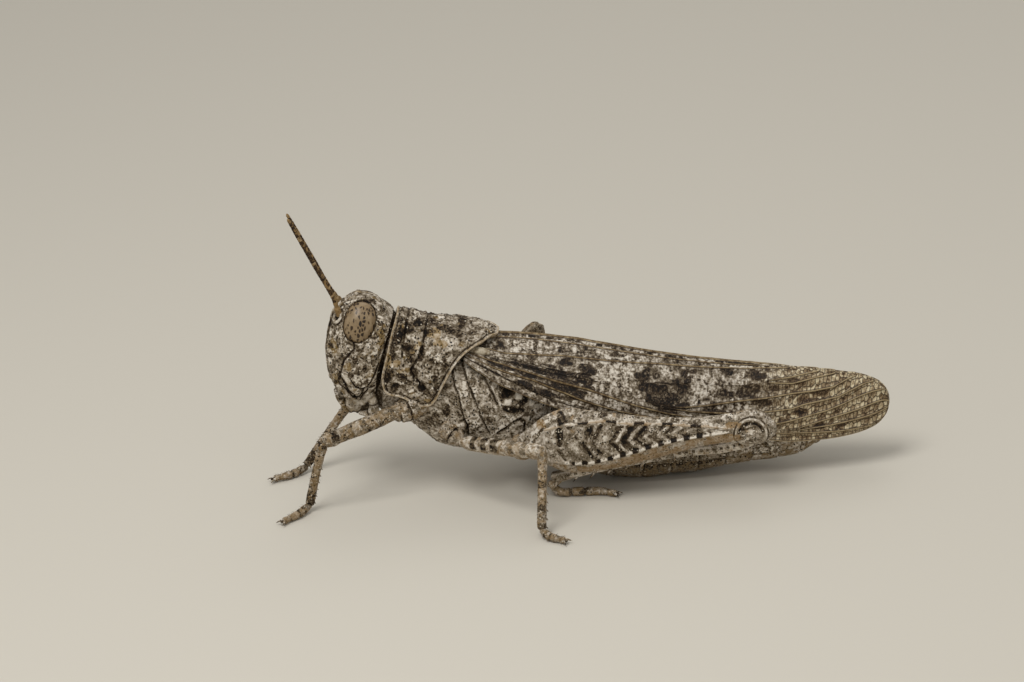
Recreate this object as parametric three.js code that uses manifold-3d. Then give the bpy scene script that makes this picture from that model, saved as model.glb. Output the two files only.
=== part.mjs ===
// Resting band-winged grasshopper, life size, in mm: +Z up, head toward -X, its left side toward -Y.
import * as THREE from "three";
import { mergeVertices } from "three/addons/utils/BufferGeometryUtils.js";
import Module from "manifold-3d";

const wasm = await Module();
wasm.setup();
const { Manifold, Mesh: SolidMesh } = wasm;

// Stance: the trunk is drawn level along s (back), y (side) and h (up), then pitched head-up.
const bodyPitch = THREE.MathUtils.degToRad(11);
const bodyPlaceX = -4;
const bodyPlaceZ = 5.9;
const bellyRestX = 2.0;
const clearance = 0.03;
const plateThickness = 0.45;
const wingThickness = 0.5;
const shortestEdge = 0.012;

// Sizes that drive the outline.
const eyeLength = 1.9;
const eyeHeight = 2.66;
const eyeDepth = 1.5;
const eyeCentre = new THREE.Vector3(-11.16, 1.4, 3.62);
const eyeInwardTilt = 0.2;
const eyeForwardTilt = 0.09;
const antennaJoints = 14;
const antennaThickness = 0.5;
const wallSag = 4.4;
const tergiteStep = 0.07;
const clawLength = 0.55;
const clawThickness = 0.2;
const tibiaSpineLength = 0.55;
const tibiaSpineThickness = 0.22;
const tibiaSpinesPerRow = 7;

// Head sections: h, front s, rear s, half width.
const headSections = [
  [-1.4, -12.16, -9.75, 1.62],
  [-0.6, -12.56, -9.62, 1.94],
  [0.4, -12.88, -9.62, 2.12],
  [1.4, -13.04, -9.58, 2.16],
  [2.4, -13.03, -9.52, 2.08],
  [3.4, -12.88, -9.5, 1.86],
  [4.2, -12.4, -9.6, 1.42],
  [4.7, -12.02, -9.98, 0.95],
  [4.96, -11.6, -10.5, 0.45],
];

// Pronotum hoops: s, half width, crest h, h of the lower edge.
const pronotumHoops = [
  [-9.4, 1.98, 4.18, 0.6],
  [-9.12, 2.06, 4.24, -0.5],
  [-8.4, 2.14, 4.18, -0.6],
  [-7.4, 2.2, 4.04, -0.94],
  [-6.9, 2.28, 4.0, -1.05],
  [-6.4, 2.38, 4.02, -0.95],
  [-6.05, 2.46, 4.04, -0.55],
  [-5.7, 2.54, 4.06, 0.5],
  [-5.1, 2.66, 4.08, 2.05],
  [-4.4, 2.68, 4.04, 2.95],
  [-3.6, 2.5, 3.9, 3.42],
  [-3.1, 2.2, 3.76, 3.62],
  [-2.74, 1.9, 3.66, 3.63],
];

// Trunk sections: s, half width, centre h, rise, drop.
const prothoraxSections = [
  [-9.55, 0.9, 1.5, 1.3, 1.5],
  [-8.9, 1.35, 1.4, 2.0, 2.6],
  [-7.9, 1.75, 1.0, 2.7, 3.5],
  [-6.7, 2.0, 0.4, 3.2, 3.8],
  [-5.7, 2.1, 0.0, 3.4, 4.0],
];
const pterothoraxSections = [
  [-5.64, 2.14, -0.2, 2.7, 3.8],
  [-4.6, 2.4, -0.4, 2.8, 3.8],
  [-3.0, 2.55, -0.5, 2.9, 3.75],
  [-1.2, 2.5, -0.6, 2.9, 3.66],
  [0.2, 2.3, -0.8, 2.6, 3.5],
  [1.1, 2.1, -1.0, 2.2, 3.3],
];
const abdomenSections = [
  [1.15, 2.1, -1.4, 2.6, 3.0],
  [3.3, 2.14, -1.6, 2.6, 3.1],
  [5.3, 2.1, -1.7, 2.6, 3.16],
  [7.1, 2.04, -1.7, 2.5, 3.03],
  [8.8, 1.94, -1.6, 2.4, 2.64],
  [10.4, 1.8, -1.5, 2.3, 2.33],
  [12.0, 1.64, -1.3, 2.0, 2.1],
  [13.6, 1.46, -1.05, 1.75, 1.9],
  [15.2, 1.24, -0.8, 1.45, 1.55],
  [16.5, 0.98, -0.6, 1.1, 1.15],
];

// Fore wing hoops: s, ridge h, shoulder y, shoulder h, edge y, edge h.
const tegmenHoops = [
  [-4.6, 3.0, 1.6, 2.62, 2.1, 2.2],
  [-3.6, 3.2, 1.75, 2.76, 2.45, 1.75],
  [-2.5, 3.46, 1.8, 2.9, 2.68, 1.28],
  [-0.6, 3.62, 1.8, 3.04, 2.86, 0.74],
  [1.3, 3.62, 1.75, 3.12, 2.92, 0.26],
  [4, 3.56, 1.6, 3.2, 2.84, -0.1],
  [7, 3.56, 1.3, 3.3, 2.6, -0.35],
  [10, 3.58, 1.0, 3.38, 2.26, -0.5],
  [13, 3.6, 0.8, 3.42, 1.9, -0.62],
  [15.2, 3.62, 0.72, 3.44, 1.64, -0.64],
  [17.6, 3.68, 0.66, 3.46, 1.36, -0.34],
  [19.2, 3.7, 0.62, 3.42, 1.2, 0.07],
  [20.4, 3.5, 0.6, 3.2, 1.06, 0.58],
  [21.0, 3.14, 0.58, 2.9, 0.92, 1.02],
  [21.34, 2.66, 0.56, 2.5, 0.78, 1.52],
];

// Folded hind wing sections: s, centre y, half width, centre h, half height.
const hindWingSections = [
  [-0.6, 1.0, 0.5, 2.55, 0.26],
  [3, 0.95, 0.55, 2.3, 0.45],
  [8, 0.8, 0.5, 2.1, 0.7],
  [12.5, 0.5, 0.32, 2.0, 0.8],
  [15.5, 0.38, 0.27, 1.9, 0.7],
  [17, 0.34, 0.25, 1.9, 0.5],
];

// Legs in stance, x y z: hip root, hip, knee, ankle, tarsus bend, toe.
const legs = {
  front_left: {
    coxa: [[-10.9, -1.5, 6.6], [-11.75, -1.95, 6.08]],
    coxaRadius: 0.58,
    femur: [[-11.95, -1.98, 6.03], [-14.4, -2.75, 5.35], [-16.75, -3.35, 4.7]],
    femurRadius: [0.4, 0.5, 0.42],
    tibia: [[-16.98, -3.42, 4.52], [-17.6, -3.34, 2.6], [-18.15, -3.2, 0.6]],
    tarsus: [[-18.25, -3.26, 0.4], [-18.8, -4.1, 0.24], [-19.6, -4.95, 0.24]],
  },
  front_right: {
    coxa: [[-10.9, 1.5, 6.6], [-11.6, 1.95, 6.1]],
    coxaRadius: 0.58,
    femur: [[-11.8, 2.05, 5.98], [-13.8, 2.9, 5.1], [-15.75, 3.75, 4.25]],
    femurRadius: [0.4, 0.5, 0.42],
    tibia: [[-15.98, 3.8, 4.05], [-17.45, 3.3, 2.3], [-18.8, 2.8, 0.6]],
    tarsus: [[-18.95, 2.7, 0.38], [-19.8, 1.95, 0.24], [-20.75, 1.5, 0.24]],
  },
  mid_left: {
    coxa: [[-9.5, -1.85, 4.5], [-8.75, -2.4, 3.95]],
    coxaRadius: 0.66,
    femur: [[-8.5, -2.6, 3.8], [-6.0, -4.7, 4.25], [-3.6, -6.7, 4.68]],
    femurRadius: [0.42, 0.51, 0.44],
    tibia: [[-3.45, -6.95, 4.58], [-3.6, -7.8, 2.6], [-3.74, -8.6, 0.62]],
    tarsus: [[-3.7, -8.72, 0.4], [-3.3, -9.25, 0.24], [-2.45, -9.85, 0.24]],
  },
  mid_right: {
    coxa: [[-9.5, 1.85, 4.5], [-8.75, 2.4, 3.95]],
    coxaRadius: 0.66,
    femur: [[-8.5, 2.66, 4.08], [-6.4, 4.62, 5.64], [-4.42, 6.52, 7.02]],
    femurRadius: [0.42, 0.51, 0.44],
    tibia: [[-4.2, 6.8, 6.95], [-3.95, 7.6, 3.7], [-3.7, 8.3, 0.62]],
    tarsus: [[-3.66, 8.42, 0.4], [-3.1, 8.9, 0.24], [-2.2, 9.3, 0.24]],
  },
};
const walkTibiaRadius = [0.32, 0.3, 0.27];
const tarsusRadius = [0.25, 0.27, 0.25];

// Hind leg: femur sections x, y, centre z, half thickness, rise, drop; then the shank and foot.
const hindFemurSections = [
  [-5.0, 3.2, 4.0, 0.3, 0.35, 0.4],
  [-4.4, 3.3, 4.0, 0.6, 0.85, 0.8],
  [-3.2, 3.5, 4.0, 0.84, 1.75, 1.7],
  [-2.0, 3.65, 4.0, 0.92, 2.14, 2.1],
  [-0.4, 3.72, 3.95, 0.94, 1.95, 2.0],
  [2.0, 3.76, 3.95, 0.86, 1.52, 1.6],
  [4.7, 3.78, 4.1, 0.72, 1.1, 1.12],
  [6.6, 3.8, 4.25, 0.62, 0.92, 0.9],
  [7.9, 3.8, 4.35, 0.64, 0.94, 0.96],
  [9.0, 3.8, 4.35, 0.72, 1.14, 1.1],
  [9.9, 3.8, 4.3, 0.64, 0.98, 0.95],
  [10.35, 3.8, 4.2, 0.36, 0.5, 0.5],
];
const hindTibia = [
  [9.1, 3.62, 3.5, 0.42],
  [7.7, 3.4, 3.04, 0.4],
  [4.7, 3.2, 2.7, 0.32],
  [0.6, 3.0, 2.02, 0.31],
  [-2.2, 2.9, 1.5, 0.34],
  [-3.1, 2.86, 1.26, 0.38],
];
const hindTarsus = [
  [-3.36, 2.86, 0.9, 0.25],
  [-3.0, 2.88, 0.42, 0.27],
  [-1.6, 2.95, 0.22, 0.28],
  [-0.3, 3.0, 0.18, 0.25],
  [0.5, 3.35, 0.18, 0.24],
];
const hindCoxa = [[-4.9, 2.1, 3.0], [-5.05, 2.7, 3.6]];
const hindCoxaRadius = 0.8;

// Antenna paths in world x, distance from the midplane, z; the right one leans further forward.
const antennaPaths = {
  left: [[-15.5, 0.95, 11.9], [-15.72, 1.05, 12.9], [-16.6, 1.2, 15.1], [-18.0, 1.35, 18.4]],
  right: [[-15.5, 0.95, 11.9], [-16.1, 1.0, 12.9], [-17.05, 1.0, 15.0], [-18.3, 0.9, 17.9]],
};

// Colours of the parts, sampled from light to dark on the animal.
const colours = {
  plate: 0x8b7f6c,
  belly: 0x7d7059,
  wing: 0x857a69,
  fan: 0xa09886,
  limb: 0x8a7d68,
  eye: 0x7a6449,
  feeler: 0x4a3a2a,
  mouth: 0x9a8f7b,
};

const signedPower = (value, exponent) => Math.sign(value) * Math.abs(value) ** exponent;

const trunkFrame = new THREE.Matrix4().makeRotationY(bodyPitch).setPosition(bodyPlaceX, 0, bodyPlaceZ);

// A point of the level trunk in the pitched stance.
const toWorld = (point) => new THREE.Vector3(...point).applyMatrix4(trunkFrame).toArray();

function geometryFrom(points, faces) {
  const geometry = new THREE.BufferGeometry();
  geometry.setAttribute("position", new THREE.Float32BufferAttribute(points.flat(), 3));
  geometry.setIndex(faces.flat());
  return geometry;
}

// A closed geometry as a solid for joining and cutting, turned outward if its faces point in.
function solidOf(geometry) {
  const bare = geometry.clone();
  bare.deleteAttribute("normal");
  bare.deleteAttribute("uv");
  const merged = mergeVertices(bare, 1e-5);
  const vertProperties = merged.attributes.position.array;
  const triVerts = Uint32Array.from(merged.index.array);
  const solid = new Manifold(new SolidMesh({ numProp: 3, vertProperties, triVerts }));
  if (solid.volume() > 0) {
    return solid;
  }
  const turned = triVerts.slice().reverse();
  return new Manifold(new SolidMesh({ numProp: 3, vertProperties, triVerts: turned }));
}

// A closed skin over rings of equal length; sheet rings are closed along their rows, others at a hub.
function skin(rings, isSheet = false) {
  const count = rings[0].length;
  const points = rings.flat();
  const faces = [];
  for (let i = 0; i + 1 < rings.length; i += 1) {
    for (let k = 0; k < count; k += 1) {
      const a = i * count + k;
      const b = i * count + ((k + 1) % count);
      faces.push([a, b, b + count], [a, b + count, a + count]);
    }
  }
  for (const end of [0, rings.length - 1]) {
    const start = end * count;
    const turn = end === 0 ? 1 : -1;
    const add = (a, b, c) => faces.push(turn > 0 ? [a, c, b] : [a, b, c]);
    if (isSheet) {
      for (let k = 0; k + 1 < count / 2; k += 1) {
        const outer = start + k;
        const inner = start + count - 1 - k;
        add(outer, outer + 1, inner);
        add(outer + 1, inner - 1, inner);
      }
    } else {
      const hub = points.length;
      const middle = [0, 1, 2].map((axis) => rings[end].reduce((sum, p) => sum + p[axis], 0) / count);
      points.push(middle);
      for (let k = 0; k < count; k += 1) {
        add(start + k, start + ((k + 1) % count), hub);
      }
    }
  }
  return solidOf(geometryFrom(points, faces));
}

// Oval ring: centre, two half axes with their directions, and squareness 2 for an ellipse.
function oval(centre, across, up, squareness, count, drop = null) {
  const ring = [];
  for (let k = 0; k < count; k += 1) {
    const angle = (2 * Math.PI * k) / count;
    const side = signedPower(Math.sin(angle), 2 / squareness);
    const rise = signedPower(Math.cos(angle), 2 / squareness);
    const high = rise < 0 && drop ? drop : up;
    ring.push(centre.map((value, axis) => value + side * across[axis] + rise * high[axis]));
  }
  return ring;
}

// A round limb through points with a radius at each.
function limb(path, radii, grow, count = 8) {
  const points = path.map((p) => new THREE.Vector3(...p));
  const rings = points.map((point, i) => {
    const before = points[Math.max(0, i - 1)];
    const after = points[Math.min(points.length - 1, i + 1)];
    const along = after.clone().sub(before).normalize();
    const across = new THREE.Vector3(0.31, 0.93, 0.2).cross(along).normalize();
    const up = along.clone().cross(across);
    const radius = radii[i] + grow;
    return { point, along, across, up, radius };
  });
  const ringAt = (r, shift, scale) => {
    const centre = r.point.clone().addScaledVector(r.along, shift).toArray();
    const across = r.across.clone().multiplyScalar(r.radius * scale).toArray();
    const up = r.up.clone().multiplyScalar(r.radius * scale).toArray();
    return oval(centre, across, up, 2, count);
  };
  const first = rings[0];
  const last = rings[rings.length - 1];
  return skin([
    ringAt(first, -first.radius * 0.45, 0.62),
    ...rings.map((r) => ringAt(r, 0, 1)),
    ringAt(last, last.radius * 0.45, 0.62),
  ]);
}

// A thorn from a root along a direction.
function thorn(root, direction, length, thickness) {
  const along = new THREE.Vector3(...direction).normalize();
  const cone = new THREE.ConeGeometry(thickness / 2, length, 4).translate(0, length / 2, 0);
  cone.applyQuaternion(new THREE.Quaternion().setFromUnitVectors(new THREE.Vector3(0, 1, 0), along));
  return solidOf(cone.translate(...root));
}

// Trunk section loft: s, half width, centre h, rise, drop.
function trunk(sections, grow, squareness = 2.3, count = 16) {
  const last = sections.length - 1;
  return skin(
    sections.map(([s, width, centre, rise, drop], i) => {
      const shift = i === 0 ? -grow : i === last ? grow : 0;
      const ring = oval(
        [s + shift, 0, centre],
        [0, width + grow, 0],
        [0, 0, rise + grow],
        squareness,
        count,
        [0, 0, drop + grow],
      );
      return ring.map(toWorld);
    }),
  );
}

// A bent sheet: rows of outer points [s, y, h], thickened inward; grow swells it on every side.
function sheet(rows, thickness, grow, innerLimit) {
  const rings = rows.map((row, i) => {
    const shift = i === 0 ? -grow : i === rows.length - 1 ? grow : 0;
    const outer = [];
    const inner = [];
    row.forEach(([s, y, h], k) => {
      const before = row[Math.max(0, k - 1)];
      const after = row[Math.min(row.length - 1, k + 1)];
      const alongY = after[1] - before[1];
      const alongH = after[2] - before[2];
      const size = Math.hypot(alongY, alongH) || 1;
      const turn = alongY * h - alongH * y < 0 ? 1 : -1;
      const normal = [(-alongH / size) * turn, (alongY / size) * turn];
      const end = k === 0 ? -grow : k === row.length - 1 ? grow : 0;
      const slide = [(alongY / size) * end, (alongH / size) * end];
      outer.push([s + shift, y - normal[0] * grow + slide[0], h - normal[1] * grow + slide[1]]);
      const deep = thickness + grow;
      inner.push([
        s + shift,
        innerLimit(y + normal[0] * deep + slide[0]),
        h + normal[1] * deep + slide[1],
      ]);
    });
    return [...outer, ...inner.reverse()].map(toWorld);
  });
  return skin(rings, true);
}

function head(grow) {
  const rings = headSections.map(([h, front, rear, width], i) => {
    const shift = i === 0 ? -grow : i === headSections.length - 1 ? grow : 0;
    return oval(
      [(front + rear) / 2, 0, h + shift],
      [0, width + grow, 0],
      [(rear - front) / 2 + grow, 0, 0],
      2.5,
      16,
    ).map(toWorld);
  });
  return skin(rings);
}

function eye(side, grow) {
  const ball = new THREE.SphereGeometry(1, 11, 6);
  ball.rotateX(Math.PI / 2);
  ball.scale(eyeLength / 2 + grow, eyeDepth / 2 + grow, eyeHeight / 2 + grow);
  ball.rotateX(side * eyeInwardTilt);
  ball.rotateY(-eyeForwardTilt);
  ball.translate(eyeCentre.x, side * eyeCentre.y, eyeCentre.z);
  return solidOf(ball.applyMatrix4(trunkFrame));
}

function antenna(label, side, grow) {
  const curve = new THREE.CatmullRomCurve3(
    antennaPaths[label].map(([x, y, z]) => new THREE.Vector3(x, side * y, z)),
  );
  const path = curve.getSpacedPoints(antennaJoints / 2).map((p) => p.toArray());
  const radii = path.map(() => antennaThickness / 2);
  return limb(path, radii, grow, 6);
}

function labrum(grow) {
  const sections = [
    [-2.55, -11.42, 0.28, 0.8],
    [-2.1, -11.72, 0.34, 1.0],
    [-1.45, -12.0, 0.3, 1.15],
  ];
  return skin(
    sections.map(([h, s, half, width], i) => {
      const shift = i === 0 ? -grow : i === sections.length - 1 ? grow : 0;
      return oval([s, 0, h + shift], [0, width + grow, 0], [half + grow, 0, 0], 2.4, 12).map(toWorld);
    }),
  );
}

function mandible(side, grow) {
  const sections = [
    [-2.6, -10.95, 0.35, 0.62, 0.3],
    [-2.1, -10.95, 0.5, 0.86, 0.42],
    [-1.45, -10.98, 0.56, 1.0, 0.46],
  ];
  return skin(
    sections.map(([h, s, half, y, width], i) => {
      const shift = i === 0 ? -grow : i === sections.length - 1 ? grow : 0;
      const centre = [s, side * y, h + shift];
      return oval(centre, [0, width + grow, 0], [half + grow, 0, 0], 2.4, 10).map(toWorld);
    }),
  );
}

function palps(side, grow) {
  const inTrunk = (list) => list.map(([s, y, h]) => toWorld([s, side * y, h]));
  const stipes = limb(inTrunk([[-10.05, 0.75, -1.5], [-10.12, 0.8, -2.05]]), [0.34, 0.3], grow, 6);
  const outer = limb(
    inTrunk([[-10.1, 0.9, -1.8], [-10.5, 1.15, -2.3], [-10.42, 1.1, -2.85]]),
    [0.22, 0.2, 0.17],
    grow,
    5,
  );
  const inner = limb(inTrunk([[-10.02, 0.7, -2.0], [-9.95, 0.72, -2.7]]), [0.2, 0.15], grow, 5);
  return Manifold.union([stipes, outer, inner]);
}

// Outer arc of a pronotum hoop, from one lower edge over the crest to the other.
function pronotumRow([s, width, crest, low]) {
  const centre = 0.9;
  const squareness = 2.5;
  const fraction = Math.min(0.999, Math.abs(low - centre) / (low < centre ? wallSag : crest - centre));
  const edge = Math.acos(Math.sign(low - centre) * fraction ** (squareness / 2));
  const row = [];
  const steps = 12;
  for (let k = 0; k <= steps; k += 1) {
    const angle = edge * ((2 * k) / steps - 1);
    const rise = signedPower(Math.cos(angle), 2 / squareness);
    const y = width * signedPower(Math.sin(angle), 2 / squareness);
    row.push([s, y, centre + rise * (rise < 0 ? wallSag : crest - centre)]);
  }
  return row;
}

function pronotum(grow) {
  return sheet(pronotumHoops.map(pronotumRow), plateThickness, grow, (y) => y);
}

function tegmenRow(side, [s, ridge, shoulderY, shoulderH, edgeY, edgeH]) {
  const row = [
    [s, side * 0.05, ridge],
    [s, side * (0.05 + shoulderY * 0.55), ridge - (ridge - shoulderH) * 0.35],
    [s, side * shoulderY, shoulderH],
  ];
  for (const t of [0.3, 0.65, 1]) {
    const y = shoulderY + (edgeY - shoulderY) * (1 - (1 - t) ** 2);
    row.push([s, side * y, shoulderH + (edgeH - shoulderH) * t]);
  }
  return row;
}

function tegmen(side, grow) {
  const rows = tegmenHoops.map((hoop) => tegmenRow(side, hoop));
  const limit = (y) => side * Math.max(0.03 - grow, side * y);
  return sheet(rows, wingThickness, grow, limit);
}

function hindWing(side, grow) {
  const last = hindWingSections.length - 1;
  return skin(
    hindWingSections.map(([s, y, width, h, rise], i) => {
      const shift = i === 0 ? -grow : i === last ? grow : 0;
      const centre = [s + shift, side * y, h];
      return oval(centre, [0, width + grow, 0], [0, 0, rise + grow], 2.6, 12).map(toWorld);
    }),
  );
}

// Each ring of the abdomen ends a little wider than the next one starts.
function abdomen(grow) {
  const sections = [];
  for (let i = 0; i + 1 < abdomenSections.length; i += 1) {
    const [s, width, centre, rise, drop] = abdomenSections[i];
    const next = abdomenSections[i + 1];
    const inset = i === 0 ? 0 : tergiteStep;
    sections.push([s, width - inset, centre, rise - inset, drop - inset]);
    sections.push([next[0] - 0.05, next[1], next[2], next[3], next[4]]);
  }
  return trunk(sections, grow, 2.15, 12);
}

function ovipositor(grow) {
  const base = limb([[16.56, 0, -0.5], [17.0, 0, -0.5]].map(toWorld), [0.62, 0.42], grow, 6);
  const valves = [1, -1].map((turn) => {
    const path = [[16.8, 0, -0.5 + turn * 0.2], [17.4, 0, -0.5 + turn * 0.3], [17.95, 0, -0.5 + turn * 0.5]];
    return limb(path.map(toWorld), [0.36, 0.28, 0.12], grow, 5);
  });
  return Manifold.union([base, ...valves]);
}

function cercus(side, grow) {
  const path = [[16.3, side * 1.05, 0.2], [16.85, side * 1.15, 0.2], [17.35, side * 1.1, 0.16]];
  return limb(path.map(toWorld), [0.2, 0.17, 0.08], grow, 6);
}

// A foot: three joints and two claws.
function tarsus(path, radii, grow) {
  const points = path.map((p) => new THREE.Vector3(...p));
  const toe = points[points.length - 1];
  const along = toe.clone().sub(points[points.length - 2]).setZ(0).normalize();
  const across = new THREE.Vector3(-along.y, along.x, 0);
  const pieces = [limb(path, radii, grow, 6)];
  for (const turn of [-1, 1]) {
    const root = toe.clone().addScaledVector(across, turn * 0.1).addScaledVector(along, 0.08);
    const out = along.clone().addScaledVector(across, turn * 0.55).setZ(-0.2);
    pieces.push(thorn(root.toArray(), out.toArray(), clawLength + grow, clawThickness + 2 * grow));
  }
  return Manifold.union(pieces);
}

const mirrorY = (side) => (point) => [point[0], side * point[1], ...point.slice(2)];

function hindTibiaSolid(side, grow) {
  const path = hindTibia.map(mirrorY(side));
  const pieces = [limb(path.map((p) => p.slice(0, 3)), path.map((p) => p[3]), grow, 8)];
  const curve = new THREE.CatmullRomCurve3(path.map((p) => new THREE.Vector3(...p.slice(0, 3))));
  for (let i = 0; i < tibiaSpinesPerRow; i += 1) {
    const at = curve.getPointAt(0.34 + (0.62 * i) / (tibiaSpinesPerRow - 1));
    for (const row of [-1, 1]) {
      const root = [at.x, at.y + row * 0.16, at.z - 0.12];
      const thickness = tibiaSpineThickness + 2 * grow;
      pieces.push(thorn(root, [-0.55, row * 0.5, -0.75], tibiaSpineLength + grow, thickness));
    }
  }
  return Manifold.union(pieces);
}

function hindFemur(side, grow) {
  const last = hindFemurSections.length - 1;
  return skin(
    hindFemurSections.map(([x, y, z, width, rise, drop], i) => {
      const shift = i === 0 ? -grow : i === last ? grow : 0;
      return oval(
        [x + shift, side * y, z],
        [0, width + grow, 0],
        [0, 0, rise + grow],
        1.75,
        12,
        [0, 0, drop + grow],
      );
    }),
  );
}

// Parts in order: each one gives way to those before it.
const plan = [];
const addPart = (name, colour, build) => plan.push({ name, colour, build });
const sides = [
  ["left", -1],
  ["right", 1],
];

for (const [label, side] of sides) {
  addPart(`eye_${label}`, colours.eye, (grow) => eye(side, grow));
}
addPart("pronotum", colours.plate, pronotum);
for (const [label, side] of sides) {
  addPart(`antenna_${label}`, colours.feeler, (grow) => antenna(label, side, grow));
}
addPart("head", colours.plate, head);
addPart("labrum", colours.mouth, labrum);
for (const [label, side] of sides) {
  addPart(`mandible_${label}`, colours.mouth, (grow) => mandible(side, grow));
  addPart(`palps_${label}`, colours.mouth, (grow) => palps(side, grow));
  addPart(`tegmen_${label}`, colours.wing, (grow) => tegmen(side, grow));
  addPart(`hind_wing_${label}`, colours.fan, (grow) => hindWing(side, grow));
  addPart(`cercus_${label}`, colours.belly, (grow) => cercus(side, grow));
}
for (const [name, leg] of Object.entries(legs)) {
  const [pair, label] = name.split("_");
  addPart(`${pair}_coxa_${label}`, colours.limb, (grow) =>
    limb(leg.coxa, [leg.coxaRadius, leg.coxaRadius * 0.7], grow, 7),
  );
  addPart(`${pair}_femur_${label}`, colours.limb, (grow) => limb(leg.femur, leg.femurRadius, grow, 8));
  addPart(`${pair}_tibia_${label}`, colours.limb, (grow) => limb(leg.tibia, walkTibiaRadius, grow, 7));
  addPart(`${pair}_tarsus_${label}`, colours.limb, (grow) => tarsus(leg.tarsus, tarsusRadius, grow));
}
for (const [label, side] of sides) {
  const foot = hindTarsus.map(mirrorY(side));
  addPart(`hind_tibia_${label}`, colours.limb, (grow) => hindTibiaSolid(side, grow));
  addPart(`hind_tarsus_${label}`, colours.limb, (grow) =>
    tarsus(foot.map((p) => p.slice(0, 3)), foot.map((p) => p[3]), grow),
  );
  addPart(`hind_femur_${label}`, colours.limb, (grow) => hindFemur(side, grow));
  addPart(`hind_coxa_${label}`, colours.limb, (grow) =>
    limb(hindCoxa.map(mirrorY(side)), [hindCoxaRadius, hindCoxaRadius * 0.75], grow, 7),
  );
}
addPart("ovipositor", colours.belly, ovipositor);
addPart("prothorax", colours.belly, (grow) => trunk(prothoraxSections, grow, 2.3, 14));
addPart("pterothorax", colours.plate, (grow) => trunk(pterothoraxSections, grow));
addPart("abdomen", colours.belly, abdomen);

const touching = (a, b) => [0, 1, 2].every((axis) => a.min[axis] < b.max[axis] && b.min[axis] < a.max[axis]);
const aboveFloor = solidOf(new THREE.BoxGeometry(120, 120, 60).translate(0, 0, 30));
const placed = [];
for (const { name, colour, build } of plan) {
  let solid = build(0);
  for (const other of placed) {
    if (touching(solid.boundingBox(), other.swollen.boundingBox())) {
      solid = solid.subtract(other.swollen);
    }
  }
  solid = solid.intersect(aboveFloor).simplify(shortestEdge);
  const largest = solid.decompose().sort((a, b) => b.volume() - a.volume())[0];
  placed.push({ name, colour, solid: largest, swollen: build(clearance) });
}

// The origin is on the midplane, where the belly rests on the floor.
const grasshopper = new THREE.Group();
grasshopper.name = "grasshopper";
const stance = new THREE.Group();
stance.position.set(-bellyRestX, 0, 0);
grasshopper.add(stance);
const trunkGroup = new THREE.Group();
trunkGroup.position.set(bodyPlaceX, 0, bodyPlaceZ);
trunkGroup.rotation.y = bodyPitch;
const toTrunk = trunkFrame.clone().invert();
const legsGroup = new THREE.Group();
stance.add(trunkGroup, legsGroup);

for (const { name, colour, solid } of placed) {
  const { vertProperties, triVerts } = solid.getMesh();
  const geometry = new THREE.BufferGeometry();
  geometry.setAttribute("position", new THREE.Float32BufferAttribute(vertProperties, 3));
  geometry.setIndex(Array.from(triVerts));
  const onLeg = /^(front|mid|hind)_(coxa|femur|tibia|tarsus)/.test(name);
  if (!onLeg) {
    geometry.applyMatrix4(toTrunk);
  }
  geometry.computeVertexNormals();
  const material = new THREE.MeshStandardMaterial({ color: colour, roughness: 0.75, metalness: 0 });
  material.flatShading = true;
  const mesh = new THREE.Mesh(geometry, material);
  mesh.name = name;
  (onLeg ? legsGroup : trunkGroup).add(mesh);
}

export default grasshopper;
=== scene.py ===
import math

import bpy
import numpy as np
from mathutils import Matrix


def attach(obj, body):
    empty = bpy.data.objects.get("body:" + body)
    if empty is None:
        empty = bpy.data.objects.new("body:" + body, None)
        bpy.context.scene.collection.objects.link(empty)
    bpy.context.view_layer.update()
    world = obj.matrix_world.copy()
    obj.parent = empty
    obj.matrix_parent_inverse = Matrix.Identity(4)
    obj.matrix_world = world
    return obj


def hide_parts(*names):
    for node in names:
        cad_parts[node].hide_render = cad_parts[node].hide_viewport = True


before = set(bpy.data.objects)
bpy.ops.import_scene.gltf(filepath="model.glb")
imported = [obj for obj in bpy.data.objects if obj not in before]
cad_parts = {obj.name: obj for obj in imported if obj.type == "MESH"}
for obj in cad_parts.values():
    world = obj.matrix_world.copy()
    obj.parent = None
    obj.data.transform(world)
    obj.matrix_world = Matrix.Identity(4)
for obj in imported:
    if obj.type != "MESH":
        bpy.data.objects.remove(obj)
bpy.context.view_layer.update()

# Lengths are in mm until a mesh is written. The trunk is drawn level along s (back), y (side), h (up).
stance = {"pitch": math.radians(11), "placeX": -6.0, "placeZ": 5.9, "legShift": -2.0}
mm = 0.001


def fromTrunk(p):
    c, s = math.cos(stance["pitch"]), math.sin(stance["pitch"])
    x = stance["placeX"] + p[..., 0] * c + p[..., 2] * s
    z = stance["placeZ"] - p[..., 0] * s + p[..., 2] * c
    return np.stack([x, p[..., 1], z], -1)


def fromStance(p):
    return np.asarray(p, float) + np.array([stance["legShift"], 0.0, 0.0])


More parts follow.
